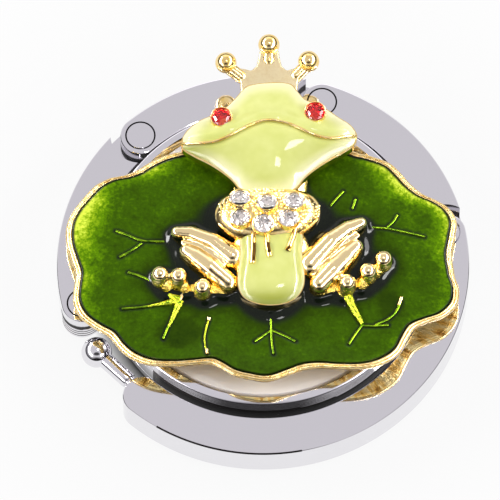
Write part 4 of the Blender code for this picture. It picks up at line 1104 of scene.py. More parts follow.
# %% The frog's plan, in millimetres
MIDDLE_X = 0.85
LIMBS = [
    ([(-9.6, 1.6, 0.66), (-8.0, 1.45, 0.84), (-5.6, 0.45, 1.0), (-3.4, -1.1, 1.4)], 10.05, 1.0),
    ([(-8.9, 0.35, 0.3), (-7.4, 0.0, 0.36), (-5.7, -0.95, 0.4), (-4.4, -2.1, 0.4)], 9.95, 1.1),
    ([(-8.5, -0.6, 0.82), (-7.5, -1.3, 1.08), (-5.9, -2.6, 1.2), (-3.9, -4.2, 1.1)], 9.85, 0.98),
    ([(-8.2, 0.3, 0.7), (-3.6, -2.7, 1.3)], 8.75, 0.55),
    ([(-9.6, -4.6, 0.45), (-4.4, -4.9, 0.75)], 8.85, 0.8),
    ([(10.9, 2.7, 0.66), (9.4, 2.0, 0.9), (7.6, 0.55, 1.15), (5.2, -2.1, 1.5)], 10.05, 1.0),
    ([(10.5, 1.2, 0.3), (9.4, 0.6, 0.38), (8.3, -0.3, 0.3)], 9.95, 1.1),
    ([(10.3, -0.1, 0.86), (9.3, -1.2, 1.12), (7.8, -2.8, 1.25), (6.2, -4.5, 1.1)], 9.85, 0.98),
    ([(10.0, 0.8, 0.7), (5.2, -3.2, 1.4)], 8.75, 0.55),
    ([(11.6, -3.8, 0.45), (6.2, -5.0, 0.75)], 8.85, 0.8)]
TOES = [(-11.45, -3.5), (-9.4, -3.7), (-6.75, -5.05), (9.35, -4.5), (11.65, -3.15), (13.35, -1.65)]
TOE_ROOTS = [
    (-10.7, -4.5), (-8.7, -4.7), (-6.5, -5.5), (8.9, -5.2), (11.0, -4.3), (12.5, -2.9)]
BODY_OVALS = [((MIDDLE_X, -1.9), 4.1, 5.7), ((0.55, 3.9), 5.6, 2.6), ((0.9, 7.5), 3.4, 4.2)]
HOLLOW_RATE = 2.8


def bar_distance(x, y, start, r0, end, r1):
    dx, dy = end[0] - start[0], end[1] - start[1]
    t = ((x - start[0]) * dx + (y - start[1]) * dy) / (dx * dx + dy * dy)
    t = min(1.0, max(0.0, t))
    return math.hypot(x - start[0] - dx * t, y - start[1] - dy * t) - (r0 + (r1 - r0) * t)


def oval_distance(x, y, centre, half_x, half_y):
    u, v = (x - centre[0]) / half_x, (y - centre[1]) / half_y
    return (math.hypot(u, v) - 1.0) * min(half_x, half_y)


def frog_distance(x, y):
    """Distance from the frog's foot line in plan, with the hollows between its parts filled."""
    near = [oval_distance(x, y, *row) for row in BODY_OVALS]
    for points, _, _ in LIMBS:
        near += [bar_distance(x, y, p[:2], p[2], q[:2], q[2]) for p, q in zip(points, points[1:])]
    near += [bar_distance(x, y, tip, 0.7, root, 0.7) for tip, root in zip(TOES, TOE_ROOTS)]
    nearest = min(near)
    if 5.0 < nearest:
        return nearest
    total = sum(math.exp(HOLLOW_RATE * (nearest - d)) for d in near)
    return nearest - math.log(total) / HOLLOW_RATE


# %% [markdown]
# ## Veins
# The veins are low ridges of the casting that break through the enamel as thin green-gold
# lines with dark flanks. They were measured in the photograph, and each point is dropped onto
# the leaf, so they lie on the surface from every side. Broader stalks rise beside the feet, a
# fine fold crosses the front, and short gold knots end some of these lines.

# %% Veins on the leaf
VEIN_LINES = [
    [(-16.4, 2.55), (-14.9, 1.9), (-13.4, 1.25), (-11.0, 1.1)],
    [(-16.0, -0.65), (-14.6, 0.15), (-13.5, 0.95)],
    [(-15.0, -2.5), (-13.4, -3.1), (-11.9, -4.1), (-10.4, -5.5)],
    [(-15.7, -6.85), (-13.2, -6.7), (-11.2, -6.3), (-9.7, -6.0)],
    [(-11.1, -10.7), (-10.4, -8.8), (-9.5, -6.6)],
    [(1.15, -12.8), (0.95, -11.3), (0.88, -9.6), (0.85, -7.9)],
    [(-0.95, -11.15), (0.0, -10.4), (0.88, -9.7)],
    [(3.6, -11.2), (2.3, -10.4), (0.88, -9.7)],
    [(8.95, 7.2), (8.2, 6.3), (7.5, 5.4)], [(10.3, 6.25), (10.15, 5.7), (9.95, 5.1)],
    [(18.0, 1.9), (15.3, 2.45), (13.7, 2.75), (12.0, 2.85)], [(14.95, 4.4), (14.5, 3.6), (13.8, 2.9)],
    [(9.3, -5.3), (9.6, -6.6), (10.3, -8.0), (10.9, -9.1)],
    [(13.9, -9.1), (12.4, -9.2), (10.95, -9.15)], [(9.5, -11.5), (10.1, -10.4), (10.9, -9.2)],
    [(15.3, -6.1), (14.8, -7.3), (13.9, -8.3), (12.5, -9.0)]]
FOLD_LINE = [(-6.0, -8.3), (-6.35, -9.6), (-6.5, -11.0), (-6.2, -12.9)]
STALK_LINES = [
    [(-9.2, -5.9), (-10.6, -5.2), (-12.0, -4.1)], [(-9.2, -6.0), (-10.9, -6.35), (-12.8, -6.65)],
    [(-9.2, -6.1), (-9.8, -7.6), (-10.5, -9.2)]]
FOOT_STALK = [(9.3, -5.4), (9.9, -6.8), (10.5, -8.0), (11.0, -9.0)]
KNOTS = [
    ((-9.0, -5.4), (-9.35, -6.3), 0.2), ((-6.0, -8.2), (-6.05, -8.5), 0.0),
    ((-6.25, -12.3), (-6.2, -12.9), 0.0), ((15.35, -5.7), (15.05, -6.6), 0.0)]
VEIN_CURVES = [open_curve(line, 14) for line in VEIN_LINES + [FOLD_LINE]]


def vein_distance(x, y):
    """Distance from the nearest vein in plan."""
    best = 9.0
    for line in VEIN_CURVES:
        if math.hypot(x - line[7].x, y - line[7].y) < 6.0:
            for p, q in zip(line, line[1:]):
                best = min(best, bar_distance(x, y, p, 0.0, q, 0.0))
    return best


def on_leaf(point, lift):
    return Vector((point.x, point.y, leaf_z(point.x, point.y)[0] + lift))


def make_veins():
    lines = [[on_leaf(p, ENAMEL_THICK - 0.02) for p in line] for line in VEIN_CURVES]
    gild(ridges("leaf_veins", lines[:-1], 0.17, 0.8, VEIN_GREEN))
    stalks = [[on_leaf(p, ENAMEL_THICK) for p in open_curve(line, 8)] for line in STALK_LINES]
    gild(ridges("leaf_stalks", stalks, 0.5, 0.3, VEIN_BRIGHT))
    foot = [[on_leaf(p, ENAMEL_THICK + 0.1) for p in open_curve(FOOT_STALK, 10)]]
    gild(ridges("foot_stalk", foot, 0.62, 0.42, VEIN_BRIGHT))
    gild(ridges("leaf_fold", lines[-1:], 0.12, 1.0, VEIN_BRIGHT))
    knots = [[on_leaf(Vector(p), ENAMEL_THICK + up) for p in ends] for *ends, up in KNOTS]
    gild(ridges("leaf_knots", knots, 0.25, 0.7, CAST_GOLD))


make_veins()

# %% [markdown]
# ## The enamel on the leaf
# The enamel is a fine polar grid over the bed. Its height is the bed's plus its thickness,
# plus the climb against the rim and a round fillet against the frog, and it dips a little
# beside each vein. The two attributes that the material reads are filled in the same pass.
# painted_glow is painted light: it grows outwards where the rim curls towards the lamps, and
# it is lowered as painted shade at the front, near the frog and in two spots at the front.
# edge marks painted shade in the dark fillets and beside the veins. Each row of painted light
# gives a direction, the strength there and the share of the way to the rim at which it starts.

# %% Grid of the enamel
# Rows of painted light round the rim: direction, strength and the share at which it starts.
PAINTED_GLOW_ROWS = [
    (2, 0.38, 0.78), (8, 0.46, 0.80), (13, 0.60, 0.82), (18, 0.58, 0.80), (24, 0.64, 0.76),
    (30, 0.66, 0.76), (36, 0.58, 0.78), (42, 0.40, 0.82), (52, 0.12, 0.85), (90, 0.06, 0.85),
    (115, 0.08, 0.82), (130, 0.16, 0.78), (137, 0.40, 0.76), (141, 0.58, 0.80),
    (146, 0.36, 0.80), (151, 0.18, 0.80), (156, 0.34, 0.80), (161, 0.62, 0.74),
    (167, 0.70, 0.72), (173, 0.60, 0.72), (179, 0.42, 0.72), (185, 0.32, 0.74),
    (191, 0.42, 0.78), (197, 0.30, 0.80), (205, 0.10, 0.80), (225, 0.0, 0.85),
    (262, 0.04, 0.85), (300, 0.06, 0.85), (312, 0.16, 0.85), (330, 0.10, 0.85),
    (346, 0.24, 0.84), (354, 0.30, 0.86)]
# Two spots of painted shade at the front.
SHADE_SPOTS = [(-9.3, -9.9, 3.2, 2.6), (14.1, -6.7, 1.9, 2.2)]
ENAMEL_RINGS, ENAMEL_INSET = 150, 0.8
RIM_CLIMB, FROG_CLIMB, CLIMB_WIDTH, CLIMB_START, VEIN_DIP = 0.14, 0.09, 0.16, 0.75, 0.06
BASE_GLOW, FRONT_SHADE, FROG_SHADE, SPOT_SHADE = 0.45, 0.09, 0.16, 0.24


def enamel_sample(x, y, share, to_rim, degrees):
    """Height at one point of the enamel, with its painted light and its painted shade."""
    bed = leaf_z(x, y)[0]
    to_frog = frog_distance(x, y)
    to_vein = vein_distance(x, y)
    against_frog = (CLIMB_START - max(0.0, to_frog)) / CLIMB_WIDTH
    climb = RIM_CLIMB * math.exp(-to_rim / CLIMB_WIDTH)
    climb += FROG_CLIMB * math.log(1 + math.exp(min(40.0, against_frog)))
    dip = VEIN_DIP * (1 - ease(0.1, 0.5, to_vein))
    # Painted light: brighter towards the lit parts of the rim and dimmer at the front.
    amount, start = round_table(PAINTED_GLOW_ROWS, degrees)
    front = 0.5 - 0.5 * math.sin(math.radians(degrees))
    painted_glow = BASE_GLOW - FRONT_SHADE * front + amount * ease(start, 1.0, share) ** 1.4
    # Painted shade near the frog and in the two spots.
    painted_glow -= FROG_SHADE * (1 - ease(0.8, 2.6, to_frog))
    for x0, y0, half_x, half_y in SHADE_SPOTS:
        out = math.hypot((x - x0) / half_x, (y - y0) / half_y)
        painted_glow -= SPOT_SHADE * (1 - ease(0.4, 1.05, out))
    # edge is painted shade in the fillets at the rim and the frog and beside the veins.
    edge = max(1 - ease(0.06, 0.34, to_rim), 1 - ease(0.6, 1.3, to_frog))
    edge = max(edge, 0.9 * (1 - ease(0.16, 0.48, to_vein)))
    return bed + BED_GAP + ENAMEL_THICK + climb - dip, painted_glow, edge


def make_leaf_enamel():
    rings, painted_glows, edges = [], [], []
    for k in range(ENAMEL_RINGS):
        part = 1 - ((ENAMEL_RINGS - 1 - k) / (ENAMEL_RINGS - 0.3)) ** 1.25 if k else 0.012
        ring = []
        for i, (radius, _) in enumerate(RIM):
            outer = radius - ENAMEL_INSET
            turn = math.tau * i / LEAF_SPOKES
            point = on_ring(outer * part, turn)
            z, painted_glow, edge = enamel_sample(
                point.x, point.y, outer * part / radius, outer * (1 - part), math.degrees(turn))
            ring.append(Vector((point.x, point.y, z)))
            painted_glows.append(painted_glow)
            edges.append(edge)
        rings.append(ring)
    floor = [leaf_ring(ENAMEL_INSET, BED_GAP)]
    floor += [leaf_ring(0, BED_GAP, share) for share in (0.85, 0.7, 0.5, 0.3, 0.12)]
    enamel = loft("leaf_enamel", rings + floor, rings[0][0], (0, 0, LEAF_MIDDLE + BED_GAP))
    store(enamel, "painted_glow", painted_glows)
    store(enamel, "edge", edges)
    heights = [p.z for p in rings[-1]]
    print("enamel heights", round(min(heights), 2), "to", round(max(heights), 2), "mm")
    return seat(paint(enamel, LEAF_ENAMEL), "disc", "leaf_enamel", "leaf_enamel")


make_leaf_enamel()

# %% [markdown]
# ## The frog's gold casting
# Body, legs and toes are soft forms that flow into each other, as they were carved in wax.
# Simple closed forms are laid over one another, a voxel Remesh melts them into one skin, and
# a Smooth modifier rounds the joins. A tapering bar is the hull of two balls, so a leg is
# one bar for each bone.

# %% Soft forms and how they melt together
def add_ball(bm, centre, radii, segments=32):
    new = bmesh.ops.create_uvsphere(
        bm, u_segments=segments, v_segments=segments // 2, radius=1.0)["verts"]
    size = Matrix.Diagonal((*(Vector(radii) * MM), 1.0))
    bmesh.ops.transform(bm, matrix=Matrix.Translation(Vector(centre) * MM) @ size, verts=new)


def add_bar(bm, start, r0, end, r1, flat=1.0):
    """Hull of two balls, which may be flattened in height."""
    small = bmesh.new()
    add_ball(small, start, (r0, r0, r0 * flat))
    add_ball(small, end, (r1, r1, r1 * flat))
    hull = bmesh.ops.convex_hull(small, input=small.verts)
    bmesh.ops.delete(small, geom=hull["geom_interior"], context="VERTS")
    part = bpy.data.meshes.new("bar")
    small.to_mesh(part)
    small.free()
    bm.from_mesh(part)
    bpy.data.meshes.remove(part)


def melt(name, bm, voxel, rounds):
    """One soft skin round everything in a mesh."""
    mesh = bpy.data.meshes.new(name)
    bm.to_mesh(mesh)
    bm.free()
    skin = modified(new_object(name, mesh), "REMESH", mode="VOXEL", voxel_size=voxel * MM)
    modified(skin, "SMOOTH", factor=0.5, iterations=rounds)
    return tidy_normals(skin, math.radians(50))


# %% Body, legs and toes
BODY_BALLS = [
    ((MIDDLE_X, -1.7, 8.9), (4.05, 5.4, 1.75), 40), ((MIDDLE_X, -0.2, 9.3), (4.3, 3.4, 1.6), 32),
    ((0.8, 8.1, 9.3), (4.2, 6.0, 1.65), 32)]
BODY_VOXEL, BODY_SMOOTHING = 0.1, 6


def limb_sink(point):
    """How much lower a limb lies where it joins the body."""
    return 0.8 * ease(6.0, 3.8, abs(point[0] - MIDDLE_X))


def make_frog_body():
    bm = bmesh.new()
    for ball in BODY_BALLS:
        add_ball(bm, *ball)
    for points, z, flat in LIMBS:
        for p, q in zip(points, points[1:]):
            start, end = ((*c[:2], z - limb_sink(c)) for c in (p, q))
            add_bar(bm, start, p[2], end, q[2], flat)
    # Each toe is a stub with a round end, and a bar runs from it back to the foot.
    for tip, root in zip(TOES, TOE_ROOTS):
        add_bar(bm, (*tip, 10.0), 1.0, (tip[0], tip[1] - 0.3, 9.3), 0.98)
        add_bar(bm, (*tip, 9.6), 0.8, (*root, 8.85), 0.68)
    gild(melt("frog_casting", bm, BODY_VOXEL, BODY_SMOOTHING), CARVED_GOLD, "frog_casting")


make_frog_body()

# %% [markdown]
# ## Belly enamel and its drips
# The belly is a domed lime field, straight at the sides and round below, framed by a fine gold
# line. Three short gold ridges run down from the collar like drips, each with a slot along its
# middle whose shade is painted as a dark brown ridge. The field is a loft of shrinking copies
# of its own outline, each a little higher than the last.

# %% Belly
BELLY_ROWS = [
    (-2.35, 2.2), (-2.55, 0.6), (-2.5, -1.5), (-2.75, -3.6), (-2.7, -5.1), (-2.05, -6.35),
    (-0.7, -7.05), (0.9, -7.25), (2.5, -7.0), (3.75, -6.25), (4.45, -4.9), (4.5, -3.2),
    (4.3, -1.2), (4.35, 0.6), (4.1, 2.2), (2.6, 3.0), (0.9, 3.1), (-0.9, 3.0)]


def closed_curve(points, samples):
    """Points on a smooth closed curve through plan points."""
    points = [Vector(p) for p in points]
    count = len(points)
    result = []
    for k in range(samples):
        place = k * count / samples
        i = int(place)
        picks = [points[(i + j) % count] for j in (-1, 0, 1, 2)]
        result.append(through(*picks, place - i))
    return result


def cushion(name, outline, centre, edge_z, top, skirt_z, steps, power=0.5, sharp=SHARP):
    """A low dome over any outline: top(share) gives its height above the edge."""
    centre = Vector(centre)
    shares = [1.0, *[(1 - (k / steps) ** 2) ** power for k in range(1, steps)], 0.03]
    rings = [[Vector((*p, skirt_z)) for p in outline]]
    for share in shares:
        z = edge_z + top(share)
        rings.append([Vector((*(centre + (p - centre) * share), z)) for p in outline])
    thing = loft(name, rings, (*centre, skirt_z), (*centre, edge_z + top(0.0)), sharp)
    skirt = [0.0] * len(outline)
    store(thing, "edge", skirt + [0.5 * ease(0.9, 1.0, s) for s in shares for _ in outline])
    return thing


def add_darkening(thing, rule):
    """Stores how much darker the enamel is at each point, between zero and one."""
    places = [vertex.co / MM for vertex in thing.data.vertices]
    store(thing, "deep", [min(1.0, max(0.0, rule(p.x, p.y))) for p in places])


BELLY_CENTRE, BELLY_EDGE_Z, BELLY_RISE = Vector((0.9, -2.4)), 10.4, 1.05
FRAME_GROWTH, FRAME_FLOOR_Z = 1.024, 8.9


def belly_top(share):
    return BELLY_RISE * (1 - share ** 4.5)


def make_belly():
    outline = closed_curve(BELLY_ROWS, 120)
    frame_line = [BELLY_CENTRE + (p - BELLY_CENTRE) * FRAME_GROWTH for p in outline]
    gild(cushion("belly_frame", frame_line, BELLY_CENTRE, BELLY_EDGE_Z - 0.02,
                 lambda share: 0.0, FRAME_FLOOR_Z, 4), GOLD)
    belly = cushion("belly_enamel", outline, BELLY_CENTRE, BELLY_EDGE_Z, belly_top,
                    BELLY_EDGE_Z - 0.3, 14)
    # The belly's enamel is darker towards the bottom.
    add_darkening(belly, lambda x, y: 0.85 * ease(-5.2, -7.3, y))
    return seat(paint(belly, LIME_ENAMEL), "disc", "lime_enamel", "belly_enamel")


DRIP_LINES = [
    [(-1.1, 1.0), (-1.12, -0.6), (-1.15, -1.7), (-1.2, -2.75)],
    [(0.4, 1.0), (0.45, -0.4), (0.6, -1.2), (0.75, -1.95)],
    [(3.6, 1.6), (3.35, 0.6), (3.0, -0.4), (2.72, -1.2)]]
DRIP_SLOTS = [
    [(-1.0, -0.35), (-1.0, -1.3), (-1.08, -2.5)], [(0.55, -0.3), (0.6, -0.9), (0.66, -1.5)],
    [(2.95, -0.75), (2.8, -1.0), (2.66, -1.25)]]


def on_belly(point, lift):
    return Vector((point.x, point.y, BELLY_EDGE_Z + BELLY_RISE + lift))


def make_drips():
    lines = [[on_belly(p, -0.1) for p in open_curve(line, 12)] for line in DRIP_LINES]
    gild(ridges("belly_drips", lines, 0.27, 1.3, GOLD))
    # The slots are dark brown ridges: painted shade.
    slots = [[on_belly(p, 0.12) for p in open_curve(line, 8)] for line in DRIP_SLOTS]
    gild(ridges("drip_slots", slots, 0.2, 1.0, SLOT_SHADE_GOLD))


make_belly()
make_drips()

# %% [markdown]
# ## The jewelled collar
# A rounded gold bean carries six cut stones. Between the stones the casting is granulated,
# which Geometry Nodes imitate by scattering small grains over the top with a fixed seed.
# Grains that would fall on a stone are avoided by giving the scatter a surface with the
# seats left out.

# %% Collar
COLLAR_ROWS = [
    (-5.3, 3.9), (-5.0, 2.4), (-3.7, 1.1), (-1.8, 0.4), (0.6, 0.1), (2.9, 0.55), (4.8, 1.5),
    (6.1, 2.9), (6.3, 4.4), (5.4, 5.9), (3.4, 6.6), (0.6, 6.7), (-2.2, 6.5), (-4.4, 5.6)]
COLLAR_CENTRE = (0.5, 3.7)
COLLAR_STONES = [(-2.6, 4.85), (0.45, 4.25), (3.45, 4.5), (-2.5, 2.5), (0.0, 1.8), (2.8, 2.4)]
STONE_LEANS = [(16, 0), (16, 8), (13, 0), (14, 30), (2, 0), (8, -5)]
COLLAR_EDGE_Z, COLLAR_RISE = 10.6, 1.35
SEAT_R, SEAT_DEPTH, ABOVE_COLLAR = 1.17, 0.75, 14.0
COLLAR_HALF, GRAIN_HALF, GRAIN_TO_STONE, PATCH = (5.85, 3.1), (5.6, 2.85), 1.3, 0.3


def collar_top(share):
    return COLLAR_RISE * (1 - share ** 5)


def collar_share(x, y, half_x, half_y):
    return math.hypot((x - COLLAR_CENTRE[0]) / half_x, (y - COLLAR_CENTRE[1]) / half_y)


def collar_z(x, y):
    return COLLAR_EDGE_Z + collar_top(min(1.0, collar_share(x, y, *COLLAR_HALF)))


def make_collar():
    outline = closed_curve(COLLAR_ROWS, 140)
    band = cushion(
        "collar", outline, COLLAR_CENTRE, COLLAR_EDGE_Z, collar_top, 9.4, 16, 0.55,
        math.radians(60))
    for x, y in COLLAR_STONES:
        mill(band, column("tool", SEAT_R, collar_z(x, y) - SEAT_DEPTH, ABOVE_COLLAR, 32, (x, y)))
    gild(tidy_normals(band, math.radians(50)), GOLD)


def granule_field():
    """Small square patches over the collar's face, without the seats of the stones."""
    verts, faces = [], []
    for i in range(-20, 21):
        for j in range(-11, 12):
            x, y = COLLAR_CENTRE[0] + i * PATCH, COLLAR_CENTRE[1] + j * PATCH
            seats = min(math.hypot(x - sx, y - sy) for sx, sy in COLLAR_STONES)
            if collar_share(x, y, *GRAIN_HALF) < 1.0 and GRAIN_TO_STONE < seats:
                base = len(verts)
                for dx, dy in ((0, 0), (PATCH, 0), (PATCH, PATCH), (0, PATCH)):
                    verts.append((x + dx, y + dy, collar_z(x + dx, y + dy)))
                faces.append((base, base + 1, base + 2, base + 3))
    return mesh_object("collar_granules", verts, faces)


def make_granules():
    gild(run_tree(granule_field(), GRANULE_TREE, {
        "Spacing": 0.27 * MM, "Grain": 0.18 * MM, "Seed": 11, "Material": GRAIN_GOLD}))


make_collar()
make_granules()

# %% [markdown]
# ## Cut stones
# A cut stone has a flat table, a ring of crown facets and a thin girdle. The real ones are
# glass with foil behind, which is what makes them sparkle. Here the glass is flat below, and
# the facets of the underside are cut into a shallow mirror under it, out of step with those
# on top. One stone is made round the origin and Geometry Nodes set the copies, each leaning
# with the collar's face.

# %% Stones
STONE_R, STONE_SIDES = 1.1, 16
TABLE_SHARE, TABLE_Z, STONE_SINK = 0.58, 0.44, 0.08
MIDDLE_SHARE, MIDDLE_Z, MIDDLE_DIP = 0.8, 0.31, 0.27
FACETED = math.radians(1)
FOIL_ROWS = [
    (1.0, (-0.12, -0.12)), (0.95, (0.02, 0.0)), (0.62, (-0.14, -0.3)), (0.3, (-0.2, -0.1))]


def stone_shape(name):
    """Table, star points, main facets and girdle, for a stone round the origin."""
    table = circle(STONE_R * TABLE_SHARE, TABLE_Z, STONE_SIDES)
    middle = circle(STONE_R * MIDDLE_SHARE, MIDDLE_Z, STONE_SIDES)
    for ring, shrink, z in ((table, 0.94, TABLE_Z), (middle, 0.97, MIDDLE_DIP)):
        for p in ring[1::2]:
            p.xy, p.z = p.xy * shrink, z
    girdle = [circle(STONE_R, z, STONE_SIDES) for z in (0.1, 0.0)]
    return loft(name, [table, middle, *girdle], (0, 0, TABLE_Z), (0, 0, -0.02), FACETED)


def foil_shape(name):
    """Shallow faceted mirror under a stone."""
    rings = []
    for share, heights in FOIL_ROWS:
        ring = circle((STONE_R + 0.03) * share, heights[0], STONE_SIDES, shift=0.5)
        for p in ring[1::2]:
            p.z = heights[1]
        rings.append(ring)
    return loft(name, rings, (0, 0, -0.72), (0, 0, -0.24), FACETED)


def bezel_shape(name, wall, height):
    """A rounded gold ring round the origin that holds a stone's girdle."""
    near, far, low = STONE_R - 0.03, STONE_R + wall, -0.4
    profile = [(near, low), (near, height * 0.4), (STONE_R + wall * 0.25, height),
               (STONE_R + wall * 0.7, height * 0.9), (far, height * 0.4), (far, low), (near, low)]
    ring = loft(name, [circle(r, z, 48) for r, z in profile], sharp=math.radians(60))
    modified(ring, "WELD", merge_threshold=0.0005 * MM)
    return tidy_normals(ring, math.radians(60))


def sunk(seats):
    return [(x, y, z - STONE_SINK) for x, y, z in seats]


def make_collar_stones():
    seats = [(x, y, collar_z(x, y) + 0.12) for x, y in COLLAR_STONES]
    stones = copies("collar_stones", stone_shape("stone_shape"), seats, CLEAR_STONE, 0.0, FACETED,
                    STONE_LEANS)
    seat(stones, "disc", "clear_stone", *[f"collar_stone_{i}" for i in range(1, 7)])
    foils = copies("collar_foils", foil_shape("foil_shape"), sunk(seats), FOIL, 0.0, FACETED,
                   STONE_LEANS)
    seat(foils, "disc", "clear_stone")
    gild(copies("collar_seats", bezel_shape("seat_shape", 0.16, 0.34), sunk(seats), GOLD,
                leans=STONE_LEANS))


make_collar_stones()

# %% [markdown]
# ## The head
# The head is a low dome with a wide outline. The mouth line crosses it in a wave, and the
# upper and lower fields of enamel meet there at a gold wire. The dome's rule is the same for
# both fields, plus mounds under the eyes and a swelling above the mouth, so they are cut from
# one height rule as two grids of columns: from the mouth up to the brow, and from the chin up
# to the mouth.

# %% Outline and height rule of the head
HEAD_CENTRE = Vector((0.65, 12.1))
HEAD_EDGE_Z, HEAD_RISE, HEAD_FLOOR_Z = 11.15, 1.85, 11.0
BROW = [
    (-9.15, 11.9), (-8.95, 12.7), (-8.3, 13.7), (-7.1, 14.7), (-5.7, 15.35), (-4.3, 16.2),
    (-3.2, 17.3), (-2.4, 18.3), (-1.6, 19.0), (0.7, 19.35), (3.0, 19.2), (3.9, 18.2), (4.6, 17.35),
    (5.6, 16.85), (7.1, 16.1), (8.3, 15.2), (9.6, 14.3), (10.25, 13.5), (10.5, 12.7)]
CHIN = [
    (-9.15, 11.9), (-8.9, 11.1), (-7.6, 10.2), (-6.1, 9.4), (-4.5, 8.3), (-3.4, 7.3), (-2.7, 6.4),
    (-1.5, 5.7), (0.7, 5.45), (2.7, 5.75), (3.8, 6.5), (4.6, 7.6), (5.9, 8.75), (7.4, 9.8),
    (9.0, 10.75), (10.1, 11.6), (10.5, 12.7)]
MOUTH = [
    (-9.15, 11.9), (-8.6, 11.65), (-7.2, 11.5), (-5.4, 11.5), (-4.0, 11.95), (-1.9, 13.1),
    (-0.2, 13.8), (0.7, 13.9), (1.7, 13.8), (3.1, 13.4), (5.0, 12.5), (6.4, 12.05), (7.9, 12.05),
    (9.5, 12.5), (10.5, 12.7)]
HEAD_LOOP = CHIN + BROW[::-1][1:-1]
EYES = [(-4.65, 14.35), (5.8, 15.0)]
EYE_Z, EYE_MOUND, EYE_SPREAD = 12.72, 0.42, 2.6
LIP_SWELL, LIP_WIDTH, MOUTH_DIP, MOUTH_WIDTH, CHIN_FALL = 0.3, 0.8, 0.12, 0.5, 0.25


def at_x(rows, x):
    """Height in plan of a smooth line at x, for rows that run from left to right."""
    i = next((k for k, row in enumerate(rows) if row[0] > x), len(rows) - 1)
    picks = [rows[min(max(i + k, 0), len(rows) - 1)] for k in (-2, -1, 0, 1)]
    span = max(1e-6, picks[2][0] - picks[1][0])
    t = min(1.0, max(0.0, (x - picks[1][0]) / span))
    m1 = (picks[2][1] - picks[0][1]) / max(1e-6, picks[2][0] - picks[0][0]) * span
    m2 = (picks[3][1] - picks[1][1]) / max(1e-6, picks[3][0] - picks[1][0]) * span
    a, b = picks[1][1], picks[2][1]
    return (a * (2 * t ** 3 - 3 * t ** 2 + 1) + m1 * (t ** 3 - 2 * t ** 2 + t)
            + b * (3 * t ** 2 - 2 * t ** 3) + m2 * (t ** 3 - t ** 2))


def from_head_centre(point):
    """Direction in degrees and distance."""
    out = point - HEAD_CENTRE
    return turn_degrees(out) % 360, out.length


HEAD_POLAR = sorted(from_head_centre(p) for p in closed_curve(HEAD_LOOP, 240))


def head_share(x, y):
    """Share of the way from the middle of the head to its edge."""
    degrees, reach = from_head_centre(Vector((x, y)))
    after = next((i for i, row in enumerate(HEAD_POLAR) if row[0] > degrees), 0)
    a, b = HEAD_POLAR[after - 1], HEAD_POLAR[after]
    t = ((degrees - a[0]) % 360) / max(1e-6, (b[0] - a[0]) % 360)
    return reach / (a[1] + (b[1] - a[1]) * t)


def head_z(x, y, side):
    """Height of the skin; side is 1 above the mouth and -1 below it."""
    share = min(1.0, head_share(x, y))
    z = HEAD_EDGE_Z + HEAD_RISE * (1 - share ** 2.4) ** 0.85
    for ex, ey in EYES:
        mound = EYE_MOUND * math.exp(-((x - ex) ** 2 + (y - ey) ** 2) / EYE_SPREAD)
        z += mound * ease(1.0, 0.86, share)
    from_mouth = y - at_x(MOUTH, x)
    if 0 < side:
        swell = LIP_SWELL * math.exp(-((from_mouth - LIP_WIDTH) / LIP_WIDTH) ** 2)
        z += swell * ease(1.0, 0.9, share)
    else:
        z -= MOUTH_DIP * math.exp(-(from_mouth / MOUTH_WIDTH) ** 2)
        z -= CHIN_FALL * ease(0.0, 5.5, -from_mouth)
    return z


print("top of the head", round(head_z(HEAD_CENTRE.x, HEAD_CENTRE.y, 1), 2), "mm")

# %% Enamel fields of the head
HEAD_COLUMNS, HEAD_ROWS = 150, 46
SKIN_INSET = 0.24


def head_field(name, low_rows, high_rows, side, inset_low, inset_high):
    """A grid of columns between two lines, with a skirt and a floor that close it."""
    left, right = BROW[0][0] + SKIN_INSET, BROW[-1][0] - SKIN_INSET
    rings = [[] for _ in range(HEAD_ROWS + 1)]
    for c in range(HEAD_COLUMNS + 1):
        x = left + (right - left) * (0.5 - 0.5 * math.cos(math.pi * c / HEAD_COLUMNS))
        low, high = at_x(low_rows, x) + inset_low, at_x(high_rows, x) - inset_high
        if high < low:
            low = high = (low + high) / 2
        for r in range(HEAD_ROWS + 1):
            y = low + (high - low) * (0.5 - 0.5 * math.cos(math.pi * r / HEAD_ROWS))
            rings[r].append((x, y))
    places = [place for ring in rings for place in ring]
    verts = [Vector((x, y, head_z(x, y, side))) for x, y in places]
    edges = [0.7 * ease(0.7, 0.99, head_share(x, y)) for x, y in places]
    width = HEAD_COLUMNS + 1
    faces = [(r * width + c, r * width + c + 1, (r + 1) * width + c + 1, (r + 1) * width + c)
             for r in range(HEAD_ROWS) for c in range(HEAD_COLUMNS)]
    border = list(range(width)) + [r * width + width - 1 for r in range(1, HEAD_ROWS + 1)]
    border += [HEAD_ROWS * width + c for c in range(width - 2, -1, -1)]
    border += [r * width for r in range(HEAD_ROWS - 1, 0, -1)]
    floor_start = len(verts)
    verts += [Vector((*verts[index].xy, HEAD_FLOOR_Z)) for index in border]
    count = len(border)
    faces += [(border[i], border[(i + 1) % count], floor_start + (i + 1) % count, floor_start + i)
              for i in range(count)]
    faces.append(tuple(range(floor_start, floor_start + count)))
    thing = mesh_object(name, verts, faces, math.radians(50))
    store(thing, "edge", edges)
    modified(thing, "WELD", merge_threshold=0.002 * MM)
    return tidy_normals(thing, math.radians(50))


def head_darkening(x, y):
    """Darker low on the left, under the corner of the mouth."""
    return 0.85 * ease(-4.2, -8.2, x) * ease(0.15, -0.5, y - at_x(MOUTH, x))


upper = head_field("head_enamel_upper", MOUTH, BROW, 1, 0.0, SKIN_INSET)
seat(paint(upper, LIME_ENAMEL), "disc", "lime_enamel", "head_enamel_upper")
lower = head_field("head_enamel_lower", CHIN, MOUTH, -1, SKIN_INSET, 0.0)
add_darkening(lower, head_darkening)
seat(paint(lower, LIME_ENAMEL), "disc", "lime_enamel", "head_enamel_lower")

